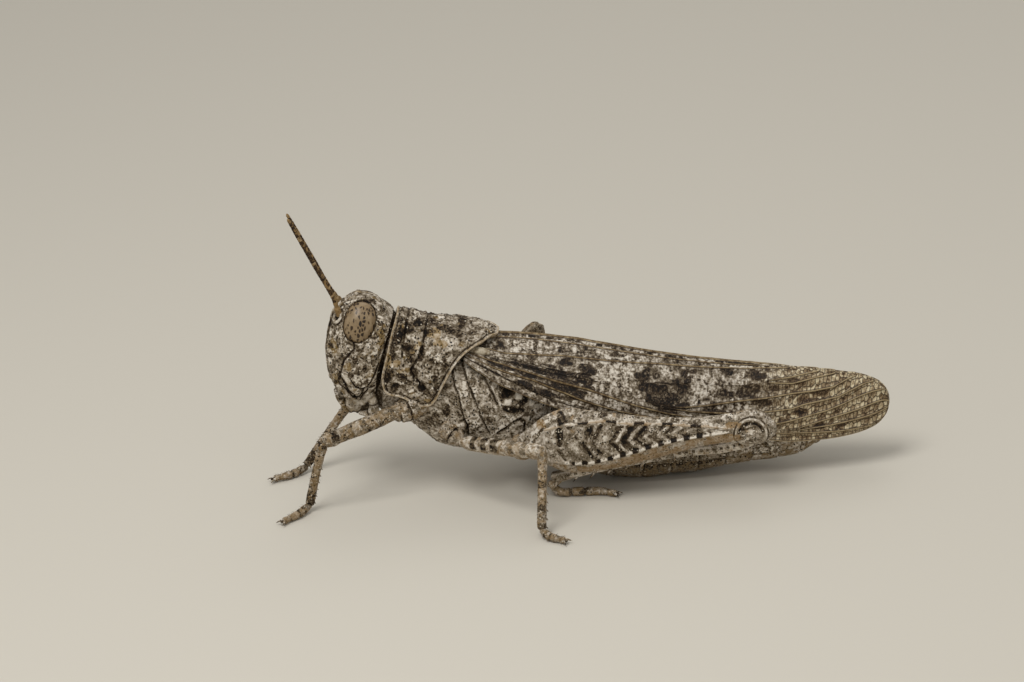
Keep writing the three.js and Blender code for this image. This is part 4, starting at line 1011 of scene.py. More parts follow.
def makeTrunk():
    shape = trunkShape
    place, scale = stations(*shape["span"], shape["rows"], *shape["caps"])
    width, centre, rise, drop = through(shape["sections"], place).T
    angle = fullTurn(shape["around"])
    across, up = ovalRing(angle, shape["square"])
    s = np.repeat(place[:, None], len(angle), 1)
    y = (width * scale)[:, None] * across
    h = centre[:, None] + np.where(up > 0, rise[:, None], drop[:, None]) * up * scale[:, None]
    grid = np.stack([s, y, h], -1)
    normal = normalsOf(grid)
    q = np.abs(y)
    chest = 1 - ease(0.6, 1.2, s)
    flank = ease(1.1, 1.5, q)
    lift, dark, pale, knobs = np.zeros((4, *s.shape))
    for seam in shape["seams"]:
        groove = along(s, h, seam, 0.06) * flank
        ridge = along(s - 0.12, h, seam, 0.07) * flank
        plate = along(s - 0.45, h, seam, 0.3) * flank
        lift += 0.06 * ridge + 0.06 * plate - 0.1 * groove
        dark += 1.5 * groove
        pale += 0.9 * ridge
    for rim in shape["rims"]:
        ridge = along(s, h, rim, 0.07) * flank
        lift += 0.09 * ridge
        pale += 1.6 * ridge
    for line in shape["grooves"]:
        groove = along(s, h, line, 0.07) * flank
        lift -= 0.13 * groove
        dark += 1.7 * groove
    for s0, h0, ws, wh, strength in shape["knobs"]:
        knobs = np.maximum(knobs, strength * mound(s - s0, ws, h - h0, wh, 4) * flank)
    lift += 0.13 * knobs
    # abdomen: each ring ends a little proud of the next one
    starts = np.array(shape["rings"])
    index = np.clip(np.searchsorted(starts, s, side="right") - 1, 0, len(starts) - 2)
    begin, end = starts[index], starts[index + 1]
    share = np.clip((s - begin) / (end - begin), 0, 1)
    tail = ease(1.0, 1.3, s)
    side = h - np.interp(s, place, centre)
    lift += tail * (-0.07 * bell(share, 0.07) + 0.02 * share**2)
    dark += tail * 0.75 * bell(share, 0.05)
    pale += tail * 0.55 * ease(0.86, 0.95, share) * (1 - ease(0.97, 1.0, share))
    fold = bell(side + 0.62 * np.interp(s, place, drop) * 0.9, 0.13) * tail * (q > 0.5)
    lift -= 0.1 * fold
    dark += 0.5 * fold
    airHole = mound(share - 0.3, 0.035, side + 0.45 * np.interp(s, place, drop), 0.07) * tail
    lift -= 0.05 * airHole
    dark += 0.9 * airHole
    # breast plates: seams across and along the belly of the chest
    neck = 1 - ease(-9.4, -9.2, s - leanAt(h))  # folded neck skin under the collar, with painted shade on it
    dark += 1.1 * neck
    lift -= 0.1 * neck
    belly = ease(0.75, 0.92, -up)[None] * chest
    for s0 in shape["breastSeams"]:
        line = bell(s - s0 - 0.25 * np.cos(q * 1.6), 0.06) * belly
        lift -= 0.07 * line
        dark += 0.5 * line
    hinge = bell(q - 0.95, 0.06) * belly
    lift -= 0.05 * hinge
    wrinkle, grains = cloud(grid, 0.7, 51), pebbles(grid, shape["granule"], 52)[0]
    lift += 0.04 * wrinkle * (1 - 0.4 * tail) + 0.05 * (grains - 0.45) * (1 - 0.65 * tail)
    ragged = 0.55 * cloud(grid, 0.35, 53)
    dark += smudges(s, h, shape["dark"], ragged) * flank + 0.2 * (1 - grains) * chest
    dark *= 1 - knobs
    pale += smudges(s, h, shape["pale"], 0.4 * ragged) * flank + 1.6 * knobs
    dark = np.where(neck > 0.5, np.minimum(dark, 1.2), dark)
    flecks = ease(0.1, 0.6, cloud(grid * np.array([1, 1, 0.6]), 0.55, 54))
    dark += tail * 0.45 * flecks * (side > -0.6 * np.interp(s, place, drop))
    pale = pale + 0.25 * tail * (1 - ease(-0.9, -0.5, up))[None]
    # painted shade: the lower half of the abdomen is darkened under the hind thigh, fading out 11 to 13 mm back
    dark += 0.4 * tail * (1 - ease(11.0, 13.0, s)) * (side < 0)
    pale = pale + 0.35 * ease(12.0, 13.5, s)
    warm = 0.35 * tail + 0.5 * tail * (up < -0.5)[None]
    points = fromTrunk(grid + normal * lift[..., None])
    points[..., 2] = np.maximum(points[..., 2], 0.0)
    calm = np.clip(0.8 * knobs + 0.8 * neck, 0, 0.9)
    return gridPart(points, marksOf(s.shape, dark, pale, warm), calm)


makePiece("trunkSkin", [makeTrunk()], bellyCuticle, ["prothorax", "pterothorax", "abdomen"])
print("trunk")


# two pairs of veins run as one before they part
middleStem = [(-4, 0.5), (-2.4, 0.555), (-0.6, 0.529), (0.9, 0.521), (3.7, 0.496), (8, 0.42), (12.5, 0.319)]
lowerStem = [(-4.6, 0.882), (-3.9, 0.849), (-2.7, 0.83), (-1.4, 0.87), (1, 0.91), (4, 0.93), (8, 0.935)]
wingShape = {
    "hoops": [
        [-4.6, 3, 1.6, 2.62, 2.1, 2.2], [-3.6, 3.22, 1.7, 2.72, 2.45, 1.75], [-2.5, 3.5, 1.7, 2.82, 2.68, 1.28],
        [-0.6, 3.66, 1.64, 2.96, 2.86, 0.74], [1.3, 3.7, 1.56, 3.03, 2.92, 0.26], [4, 3.6, 1.3, 3.06, 2.84, -0.1],
        [7, 3.48, 0.85, 3.1, 2.6, -0.35], [10, 3.45, 0.6, 3.19, 2.26, -0.5], [13, 3.55, 0.58, 3.31, 1.9, -0.62],
        [15.2, 3.63, 0.6, 3.38, 1.64, -0.64], [17.6, 3.71, 0.6, 3.44, 1.32, -0.34],
        [19.2, 3.72, 0.54, 3.42, 1.08, 0.07], [20.4, 3.5, 0.48, 3.2, 0.86, 0.58],
        [21, 3.14, 0.42, 2.9, 0.68, 1.02], [21.34, 2.66, 0.34, 2.5, 0.5, 1.52],
        [21.44, 2.34, 0.3, 2.2, 0.42, 1.84],
    ],
    "callusRadius": [0.17, 0.24, 0.25, 0.15],
    "callus": [(-4.3, 2.73), (-3.8, 2.77), (-3.2, 2.78)],
    "thick": 0.14,
    "rows": 400,
    "streaks": 0.68,
    "relief": 0.08,
    "vein": 0.06,
    "veinGap": 0.004,
    # each vein from the wing's ridge down: place along the trunk, share of the way to the lower edge
    "veins": [
        [(-5, 0.0), (22, 0.0)],
        [(-4, 0.10), (4, 0.09), (8, 0.07), (12, 0.05), (14, 0.02), (16, -0.06)],
        [
            (-3.4, 0.44), (-2.2, 0.462), (1.2, 0.328), (4, 0.277), (7.2, 0.185), (9.7, 0.143), (12.5, 0.1),
            (15, 0.03), (16.5, -0.05),
        ],
        [
            *middleStem, (13.7, 0.252), (15.3, 0.168), (16.7, 0.059), (17.5, -0.03),
        ],
        [
            *middleStem, (13.7, 0.262), (14.5, 0.256), (15.4, 0.244), (16.7, 0.151), (17.3, 0.109), (18.3, 0),
        ],
        [
            (-3, 0.6), (4, 0.55), (5, 0.585), (6, 0.645), (8.3, 0.715), (9, 0.7), (10, 0.655), (12.3, 0.53),
            (13.9, 0.462), (15.5, 0.37), (16.8, 0.319), (17.9, 0.252), (18.9, 0.092), (19.6, -0.02),
        ],
        [
            (-3, 0.6), (3.2, 0.557), (4.2, 0.57), (5, 0.595), (6, 0.655), (8.3, 0.73), (9.5, 0.735), (12, 0.7),
            (13.7, 0.647), (15.5, 0.571), (16.3, 0.504), (17.4, 0.445), (18.3, 0.387), (19.2, 0.252), (20, 0.118),
            (20.6, 0),
        ],
        [
            (-4.5, 0.7), (-2.4, 0.655), (-0.3, 0.664), (1.7, 0.672), (3, 0.68), (4.2, 0.71), (6.1, 0.765), (8, 0.8),
            (12, 0.83), (14.7, 0.782), (16.1, 0.689), (17.7, 0.588), (18.7, 0.487), (19.6, 0.37), (20.7, 0.202),
            (21.2, 0.05),
        ],
        [
            (-4.6, 0.8), (-2.4, 0.773), (-0.3, 0.748), (1.8, 0.79), (2.7, 0.824), (5, 0.87), (8, 0.885),
            (12, 0.895), (14.5, 0.86), (16.1, 0.824), (17.1, 0.756), (18.1, 0.689), (18.9, 0.639), (19.7, 0.58),
            (20.4, 0.496), (21.3, 0.36),
        ],
        [
            *lowerStem, (11, 0.915),
            (13, 0.885), (14, 0.872), (16.1, 0.845), (18, 0.8), (19, 0.77), (20, 0.74), (21.2, 0.68),
        ],
        [
            *lowerStem, (12, 0.93),
            (14.4, 0.9), (16.1, 0.88), (17.6, 0.891), (18.7, 0.908), (19.7, 0.924), (20.7, 0.958), (21.3, 1),
        ],
        [(-5, 1.0), (22, 1.0)],
    ],
    # place along, share down, half sizes, strength
    "dark": [
        (-2.5, 0.29, 0.42, 0.1, 1), (-2.8, 0.4, 0.3, 0.06, 0.7), (2.75, 0.59, 0.6, 0.1, 1),
        (1.7, 0.545, 1.3, 0.025, 1), (2.9, 0.44, 0.6, 0.06, 0.9), (1.5, 0.4, 0.4, 0.06, 0.7),
        (0.3, 0.6, 2.4, 0.05, 0.75), (1.5, 0.73, 1.6, 0.05, 0.9), (2.4, 0.78, 0.5, 0.07, 1),
        (0, 0.86, 2.6, 0.06, 0.7), (-1, 0.7, 2, 0.03, 0.8), (-2.6, 0.68, 0.9, 0.035, 0.8),
        (2.9, 0.66, 0.6, 0.05, 1), (0.2, 0.5, 1.6, 0.02, 0.7), (2.2, 0.64, 1, 0.04, 0.9),
        (6.2, 0.42, 0.5, 0.1, 1), (6.9, 0.55, 0.75, 0.14, 1), (8, 0.42, 0.8, 0.08, 0.7),
        (8.7, 0.34, 0.5, 0.09, 0.9), (8.75, 0.48, 0.45, 0.13, 1), (7.9, 0.6, 1.1, 0.1, 1),
        (7.4, 0.7, 1.1, 0.06, 1), (8.8, 0.66, 0.5, 0.08, 0.9), (6.8, 0.77, 0.6, 0.05, 0.9),
        (8.2, 0.78, 0.7, 0.05, 0.8), (6.9, 0.3, 0.5, 0.06, 0.4), (11.3, 0.16, 0.3, 0.1, 0.9),
        (13.25, 0.2, 0.6, 0.08, 1), (13, 0.35, 0.45, 0.08, 0.8), (12.8, 0.44, 0.6, 0.05, 0.8),
        (11.4, 0.45, 0.5, 0.06, 0.7), (11.2, 0.71, 0.9, 0.04, 0.9), (13.7, 0.53, 0.55, 0.05, 0.9),
        (16.2, 0.46, 0.5, 0.05, 0.8), (16.1, 0.61, 0.55, 0.06, 0.9), (17.5, 0.8, 0.35, 0.05, 0.9),
        (18.3, 0.6, 0.4, 0.04, 0.5), (15.6, 0.22, 0.5, 0.05, 0.6), (14.4, 0.33, 0.4, 0.04, 0.6),
        (17.2, 0.35, 0.5, 0.04, 0.5), (1.2, 0.24, 0.3, 0.05, 0.5), (4.5, 0.16, 0.3, 0.05, 0.4),
        (9.6, 0.2, 0.4, 0.05, 0.5), (10.3, 0.55, 0.4, 0.05, 0.4), (-0.5, 0.43, 0.4, 0.04, 0.4),
        (18.7, 0.82, 0.25, 0.03, 0.7), (9.3, 0.88, 0.6, 0.04, 0.7), (11, 0.9, 0.5, 0.03, 0.7),
        (12.3, 0.87, 0.3, 0.03, 0.7), (15.2, 0.72, 0.4, 0.04, 0.5),
    ],
    "pale": [
        (4.6, 0.4, 1.2, 0.18, 0.9), (-1, 0.28, 1.1, 0.14, 0.7), (4.7, 0.62, 1.2, 0.05, 0.8),
        (10, 0.45, 0.6, 0.14, 0.8), (4.6, 0.8, 1.3, 0.08, 0.8), (10.2, 0.6, 0.5, 0.05, 0.6),
        (3.6, 0.7, 0.7, 0.04, 0.7), (12.3, 0.6, 0.6, 0.04, 0.5), (7.3, 0.25, 0.8, 0.1, 0.4),
        (5, 0.2, 1, 0.06, 0.5), (-3.9, 0.56, 0.42, 0.1, 1), (15, 0.52, 0.6, 0.06, 0.5),
        (12.3, 0.25, 0.5, 0.08, 0.4), (14.9, 0.83, 0.6, 0.04, 0.5), (2, 0.2, 0.8, 0.06, 0.5),
    ],
    "membrane": (10.5, 16.5),
}


def wingGrid():
    shape = wingShape
    low, high = shape["hoops"][0][0], shape["hoops"][-1][0]
    t = np.linspace(0, 1, shape["rows"])
    place = np.clip(low + (high - low) * (1.12 * t - 0.12 * t**6), low, high)  # closer rows at the tip
    hoops = through(shape["hoops"], place)
    veins = np.array([np.interp(place, *np.array(vein).T) for vein in shape["veins"]])
    least = np.arange(len(veins)) * shape["veinGap"]
    veins = np.maximum.accumulate(np.maximum(veins, 0) + 1e-9, 0)
    for k in range(1, len(veins)):
        veins[k] = np.maximum(veins[k], veins[k - 1] + shape["veinGap"])
    for k in range(len(veins) - 2, -1, -1):
        veins[k] = np.minimum(veins[k], veins[k + 1] - shape["veinGap"] * (veins[k + 1] > 1 - least[-1 - k]))
    veins = veins / veins[-1]
    rows, share, number, width, mask = [], [], [], [], []
    for i, (s, (ridge, shoulderY, shoulderH, edgeY, edgeH)) in enumerate(zip(place, hoops)):
        middle = [0.05 + shoulderY * 0.55, ridge - (ridge - shoulderH) * 0.5]
        knots = [[0.05, ridge], middle, [shoulderY, shoulderH]]
        for step in (0.3, 0.65, 1):
            outward = 1 - (1 - step) ** 2
            knots.append([shoulderY + (edgeY - shoulderY) * outward, shoulderH + (edgeH - shoulderH) * step])
        line = smoothPath([[y, h, 0.0] for y, h in knots], 160)[:, :2]
        length = np.r_[0, np.cumsum(np.linalg.norm(np.diff(line, axis=0), axis=1))]
        total = length[-1]
        v, q, w, m = [], [], [], []
        for k in range(len(veins) - 1):
            a, b = veins[k, i], veins[k + 1, i]
            strip = (b - a) * total
            near = strip if k == 0 else min(strip, (veins[k, i] - veins[k - 1, i]) * total)
            step = min(shape["vein"], strip / 8)
            between = [2 * step + (strip - 4 * step) * f for f in (0.25, 0.5, 0.75)]
            offsets = [0, step, 2 * step, *between, strip - 2 * step, strip - step]
            after = strip if k == len(veins) - 2 else min(strip, (veins[k + 2, i] - veins[k + 1, i]) * total)
            here, there = float(ease(0.03, 0.16, near)), float(ease(0.03, 0.16, after))
            levels = [here, 0.4 * here, 0, 0, 0, 0, 0, 0.4 * there]
            v += [a + offset / total for offset in offsets]
            q += [k + offset / max(strip, 1e-6) for offset in offsets]
            w += [strip] * 8
            m += levels
        v, q, w, m = v + [1.0], q + [len(veins) - 1.0], w + [w[-1]], m + [1.0]
        even = np.array(v) * total
        y, h = (np.interp(even, length, line[:, j]) for j in (0, 1))
        rows.append(np.stack([np.full(len(even), s), y, h], -1))
        share.append(v)
        number.append(q)
        width.append(w)
        mask.append(m)
    return np.array(rows), np.array(share), np.array(number), np.array(width), np.array(mask)


def makeWing(side, base):
    shape = wingShape
    grid, share, number, width, mask = base
    grid = grid * np.array([1, side, 1])
    normal = normalsOf(grid, wrap=False)
    if normal[200, 50, 1] * side < 0:
        normal = -normal
    s = grid[..., 0]
    leather = 1 - ease(*shape["membrane"], s)
    frac = number - np.floor(number)
    sag = np.minimum(width, 1.2) * 0.05 * np.sin(math.pi * frac) ** 2
    flat = cloud(np.stack([s * 0.7, number * 1.2, s * 0], -1), 0.8, 60 + side)
    fade = ease(0.0, 0.03, share) * ease(0.0, 0.02, 1 - share)
    lift = shape["relief"] * mask - sag * fade + 0.035 * flat * leather * fade
    # an unbroken outline at the tip
    even = np.maximum((1 - ease(0.015, 0.05, share)) * ease(9, 12, s), ease(20.8, 21.3, s))
    lift = lift * (1 - even) + 0.04 * even
    # pleats of the folded front part: each strip leans and hides the next one's edge
    pleated = ease(0.5, 0.56, share) * (1 - ease(0.0, 5.0, s)) * fade
    lift += 0.16 * pleated * (frac - 0.5) * ease(0.2, 0.6, width)
    ragged = 0.95 * cloud(np.stack([s * 0.7, share * 10, s * 0 + side], -1), 0.45, 62)
    place = np.stack([s, number, mask], -1)
    # pale lines along the folds
    streak = ease(0.1, 0.4, cloud(np.stack([s * 0.3, share * 26, s * 0 + side], -1), 0.5, 66))
    dark = np.minimum(smudges(s, share, shape["dark"], ragged) * (1.6 - 0.6 * leather), 1.4)
    dark = dark * (1 - shape["streaks"] * streak * leather)
    # a dashed line of dark and pale along the ridge
    dash = ease(0.0, 0.5, cloud(np.stack([s * 2.6, s * 0 + 3, s * 0], -1), 1.0, 64))
    dash = dash * (share < 0.055) * (share > 0.012)
    # painted shadow: the sunken top edge of each pleated strip, just under the vein above it, is darkened
    fold = ease(0.0, 0.5, pleated) * (1 - ease(0.0, 0.22, frac)) * (width > 0.2)
    dark = np.maximum(dark, np.maximum(0.75 * dash * ease(-3.5, -2.5, s), 0.9 * fold))
    pale = np.maximum(smudges(s, share, shape["pale"], 0.4 * ragged), 0.4 * (share < 0.09) * (1 - dash))
    outer = grid + normal * lift[..., None]
    inner = grid - normal * shape["thick"]
    inner[..., 1] = side * np.maximum(side * inner[..., 1], 0.012)
    marks = marksOf(s.shape, dark, pale, 1 - leather)
    layers = ((outer, inner), (marks, marks), (place, place))
    rings, marks, place = (np.concatenate([front, back[:, ::-1]], 1) for front, back in layers)
    return gridPart(fromTrunk(rings), marks, place, sheet=True)


def makeCallus(side, base):  # smooth cream swelling at the shoulder, just behind the shield
    grid = base[0]
    path = []
    for s, h in wingShape["callus"]:
        near = np.argmin((grid[..., 0] - s) ** 2 + (grid[..., 2] - h) ** 2)
        path.append([s, side * (grid[..., 1].flat[near] + 0.07), h + 0.03])
    path = smoothPath(path, 60)
    swell = np.interp(np.linspace(0, 1, len(path)), [0, 0.3, 0.7, 1], wingShape["callusRadius"])
    rings, length, _ = tube(path, swell, swell, 28, (0.14, 0.14), hint=(0.1, 0.2, 1))
    return gridPart(fromTrunk(rings), marksOf(length.shape, 0.0, 1.1, 0.75))


# Leathery forewing, chitin over a net of veins: matt and mottled near the body, thin and glossier at the tip.
def veinedWing(name, look):
    material = newMaterial(name)
    tree = material.node_tree
    place, marks = skinParts(tree)
    guide = addNode(tree, "Attribute", {"attribute_name": "guide"}).outputs["Vector"]
    vein = addNode(tree, "SeparateXYZ", {}, [guide]).outputs[2]
    stretch = (1 / look["cell"], look["cellsAcross"], 0.0)
    flat = addNode(tree, "VectorMath", multiplied, [guide, stretch])
    cells = []
    for feature in ("DISTANCE_TO_EDGE", "F1"):
        inputs = {"Vector": flat, "Scale": 1.0, "Randomness": look["cellJitter"]}
        cells.append(addNode(tree, "TexVoronoi", {"voronoi_dimensions": "2D", "feature": feature}, inputs).outputs)
    border = cells[0]["Distance"]
    cellTone = addNode(tree, "SeparateXYZ", {}, [cells[1]["Color"]])
    clouds = []
    for scale, detail, fineness in ((1.1, 3.0, 0.6), (3.4, 2.0, 0.6), (7.5, 1.0, 0.5)):
        inputs = {"Vector": place, "Scale": scale, "Detail": detail, "Roughness": fineness}
        clouds.append(addNode(tree, "TexNoise", {}, inputs))
    blotch, spot, fine = clouds
    grain = addNode(tree, "TexVoronoi", {}, {"Vector": place, "Scale": 8.5})
    layers = [(blotch, "blotchGain"), (spot, "spotGain"), (fine, "fineGain"), (cellTone, "cellGain")]
    start = look["base"] - 0.5 * sum(look[key] for layer, key in layers)
    tone = layered(tree, start, [*((layer, look[key]) for layer, key in layers), (grain, -0.25)])
    # painted marks, torn along the cells
    tear = layered(tree, -5.7, [(cellTone, 2.4), (fine, 5.0), (spot, 7.0)])
    for mark, depth, reach in ((marks[1], 0.4, 0.35), (marks[0], -0.67, 0.88)):
        tone = layered(tree, tone, [(tornMark(tree, mark, tear, 0.9, reach), depth)])
    colour = addNode(tree, "ValToRGB", {"stops": look["tones"]}, [tone])
    # the membrane is warmer, and its cells stand out as pale squares in brown borders
    tipTone = addNode(tree, "Math", weighted, [tone, 0.78, 0.11])
    tipTone = addNode(tree, "ValToRGB", {"stops": look["tipTones"]}, [layered(tree, tipTone, [(cellTone, 0.25)])])
    clear = addNode(tree, "Math", {"operation": "POWER"}, [marks[2], 1.8])
    colour = addNode(tree, "Mix", coloured, {0: clear, 6: colour, 7: tipTone}).outputs[2]
    line = addNode(tree, "MapRange", {}, [border, 0.04, 0.14, 1.0, 0.0])
    lineShare = addNode(tree, "Math", multiplied, [layered(tree, 0.2, [(marks[2], 0.65)]), line])
    # longitudinal veins: tan crests with a dark edge on both sides
    beside = addNode(tree, "MapRange", {}, [vein, 0.05, 0.3, 0.0, 0.8])
    for share in (lineShare, beside):
        colour = addNode(tree, "Mix", coloured, {0: share, 6: colour, 7: toLinear(look["border"])}).outputs[2]
    crest = addNode(tree, "MapRange", {}, [vein, 0.45, 0.7, 0.0, 0.85])
    veinTone = addNode(tree, "ValToRGB", {"stops": look["veinTones"]}, [layered(tree, spot, [(marks[2], 0.2)])])
    colour = addNode(tree, "Mix", coloured, {0: crest, 6: colour, 7: veinTone}).outputs[2]
    rough = layered(tree, 0.46, [(spot, 0.25), (marks[2], -0.14)])
    height = layered(tree, 0.0, [(spot, 0.8), (grain, -0.6), (line, 0.7)])
    height = {"Strength": 0.6, "Distance": 0.03 * mm, "Height": height}
    shader = {"Base Color": colour, "Roughness": rough, "Normal": addNode(tree, "Bump", {}, height)}
    shadeWith(tree, {**shader, "IOR": 1.53, "Specular IOR Level": 0.2})
    return material


wingLook = {
    "cell": 0.24, "cellsAcross": 1.7, "cellJitter": 0.6, "cellGain": 0.3,
    "blotchGain": 0.6, "spotGain": 1.6, "fineGain": 1.1, "base": 0.7, "tones": cuticleTones, "border": "#2c1e10",
    "tipTones": [
        (0.0, "#1c1209"), (0.2, "#3f2e1b"), (0.42, "#6d5940"), (0.62, "#8d7a5d"), (0.85, "#b3a282"),
        (1.0, "#cdbf9f"),
    ],
    "veinTones": [(0.32, "#54422b"), (0.48, "#7e6949"), (0.66, "#aa9671")],
}
wingMembrane = veinedWing("leatheryVeinedForewing", wingLook)
wingBase = wingGrid()
for label, side in sides:
    wing = [makeWing(side, wingBase), makeCallus(side, wingBase)]
    makePiece(f"forewing{label.title()}", wing, wingMembrane, [f"tegmen_{label}"])
print("forewings")


fanShape = {
    "sections": [
        [-0.6, 1, 0.5, 2.55, 0.26], [3, 0.95, 0.55, 2.3, 0.45], [8, 0.8, 0.5, 2.1, 0.7],
        [12.5, 0.5, 0.32, 2, 0.8], [15.5, 0.38, 0.27, 1.9, 0.7], [17, 0.34, 0.25, 1.9, 0.5],
    ],
    "span": (-0.6, 17.0),
    "caps": (0.1, 1.6),
    "square": 2.6,
    "pleats": 15,
}


def makeFan(side):
    place, scale = stations(*fanShape["span"], 140, *fanShape["caps"], capCount=16)
    y0, width, h0, rise = through(fanShape["sections"], place).T
    angle = fullTurn(180)
    across, up = ovalRing(angle, fanShape["square"])
    fold = angle * fanShape["pleats"] / math.pi
    pleat = np.abs(fold % 2 - 1)
    shrink = 1 - 0.16 * pleat[None] * (0.6 + 0.4 * np.sin(place * 0.8)[:, None])
    grid = np.stack(
        [
            np.repeat(place[:, None], len(angle), 1),
            side * (y0[:, None] + (width * scale)[:, None] * across * shrink),
            h0[:, None] + (rise * scale)[:, None] * up * shrink,
        ],
        -1,
    )
    grid[..., 1] = side * np.maximum(side * grid[..., 1], 0.03)
    mask = (1 - pleat[None]) * np.ones_like(grid[..., 0])
    net = np.stack([grid[..., 0], np.tile(fold, (len(place), 1)), mask**3], -1)
    return gridPart(fromTrunk(grid), marksOf(mask.shape, 0.15, 0.5, 0.8), net)


# Hindwing membrane, pleated shut like a fan: thin, smooth and pale, with brown veins along its folds.
fanLook = {
    "cell": 0.5, "cellsAcross": 0.8, "cellJitter": 0.4, "cellGain": 0.1,
    "blotchGain": 0.2, "spotGain": 0.25, "fineGain": 0.1, "base": 0.66, "tones": cuticleTones, "border": "#5a452c",
    "tipTones": [(0.0, "#3a2c1c"), (0.4, "#85735a"), (0.7, "#ab9a7d"), (1.0, "#cfc2a6")],
    "veinTones": [(0.3, "#5f4a2e"), (0.7, "#83704f")],
}
fanMembrane = veinedWing("pleatedFanMembrane", fanLook)
for label, side in sides:
    makePiece(f"foldedHindwing{label.title()}", [makeFan(side)], fanMembrane, [f"hind_wing_{label}"])
print("hindwings")


thighShape = {
    "span": (-5.0, 10.35), "caps": (0.12, 0.22), "rows": 340, "around": 200, "granule": 0.2,
    "sections": [
        [-5, 3.2, 4, 0.3, 0.35, 0.4], [-4.4, 3.3, 4, 0.6, 0.85, 0.8], [-3.2, 3.5, 4, 0.84, 1.75, 1.7],
        [-2, 3.65, 4, 0.92, 2.14, 2.1], [-0.4, 3.72, 3.95, 0.94, 1.95, 2], [2, 3.76, 3.95, 0.86, 1.52, 1.6],
        [4.7, 3.78, 4.1, 0.72, 1.1, 1.12], [6.6, 3.8, 4.25, 0.62, 0.92, 0.9], [7.9, 3.8, 4.35, 0.64, 0.94, 0.96],
        [9, 3.8, 4.35, 0.72, 1.14, 1.1], [9.9, 3.8, 4.3, 0.64, 0.98, 0.95], [10.35, 3.8, 4.2, 0.36, 0.5, 0.5],
    ],
    "square": 1.75,
    "upperLine": [
        (-3.4, 4.95), (-2.19, 5.3), (0.1, 5.4), (1.6, 5.15), (3.3, 5.03), (5.5, 4.79), (7.2, 4.62), (8, 4.5),
    ],
    "lowerLine": [
        (-4.2, 3.3), (-3.1, 2.9), (-1.83, 2.75), (-0.63, 2.8), (0.57, 3.06), (1.9, 3.4), (3.23, 3.76), (4.66, 4.03),
        (7.17, 4.28), (7.95, 4.38),
    ],
    "baseArc": [(-4.35, 3.9), (-4.2, 4.45), (-3.75, 5.05), (-3.1, 5.55), (-2.4, 5.85)],
    "chevron": 0.86,
    "chevronSlope": 0.75,
    "chevronDepth": [0.1, 0.3, 0.3, 0.9, 0.3, 1.0, 0.9, 0.45, 0.7, 0.35, 0.35, 0.25, 0.2, 0.2],
    "dash": 0.78,
    "innerBand": 4.6,
    "knee": (9.03, 4.13, 0.92),
    "dark": [
        (-2.4, 5.55, 0.3, 0.45, 1.45), (-2.5, 4.85, 0.28, 0.5, 1.35), (-2.55, 4.2, 0.2, 0.3, 1.1),
        (-1.9, 5.15, 0.25, 0.14, 1.1), (0.2, 5.75, 0.3, 0.16, 0.9), (1.1, 5.62, 0.25, 0.14, 0.8),
        (-0.7, 4.85, 0.2, 0.25, 0.9), (1.7, 5, 0.3, 0.2, 0.9), (2.7, 4.8, 0.22, 0.25, 0.8),
        (2.3, 5.45, 0.3, 0.13, 0.8), (3.3, 5.3, 0.3, 0.12, 0.8), (4.5, 5.12, 0.3, 0.12, 0.9),
        (5.8, 5, 0.3, 0.13, 0.7), (7.1, 4.98, 0.4, 0.15, 0.6), (-2.2, 5.6, 0.5, 0.25, 0.5),
        (8.6, 4.5, 0.16, 0.14, 0.9), (9.2, 4.25, 0.14, 0.12, 0.9), (8.45, 4, 0.14, 0.12, 0.7),
    ],
    "warm": [
        (4, 2.9, 3, 0.3, 0.8), (7.6, 3.9, 1, 0.35, 0.8), (-3.6, 5.2, 0.35, 0.3, 1),
        (-2.6, 5.9, 0.3, 0.2, 1), (8, 4.75, 0.6, 0.2, 0.6), (1, 2.35, 2.2, 0.2, 0.8),
    ],
    "pale": [(-2.6, 4.9, 0.5, 0.3, 0.5), (9.0, 3.7, 0.5, 0.25, 0.5), (6.6, 4.8, 0.4, 0.12, 0.4)],
}


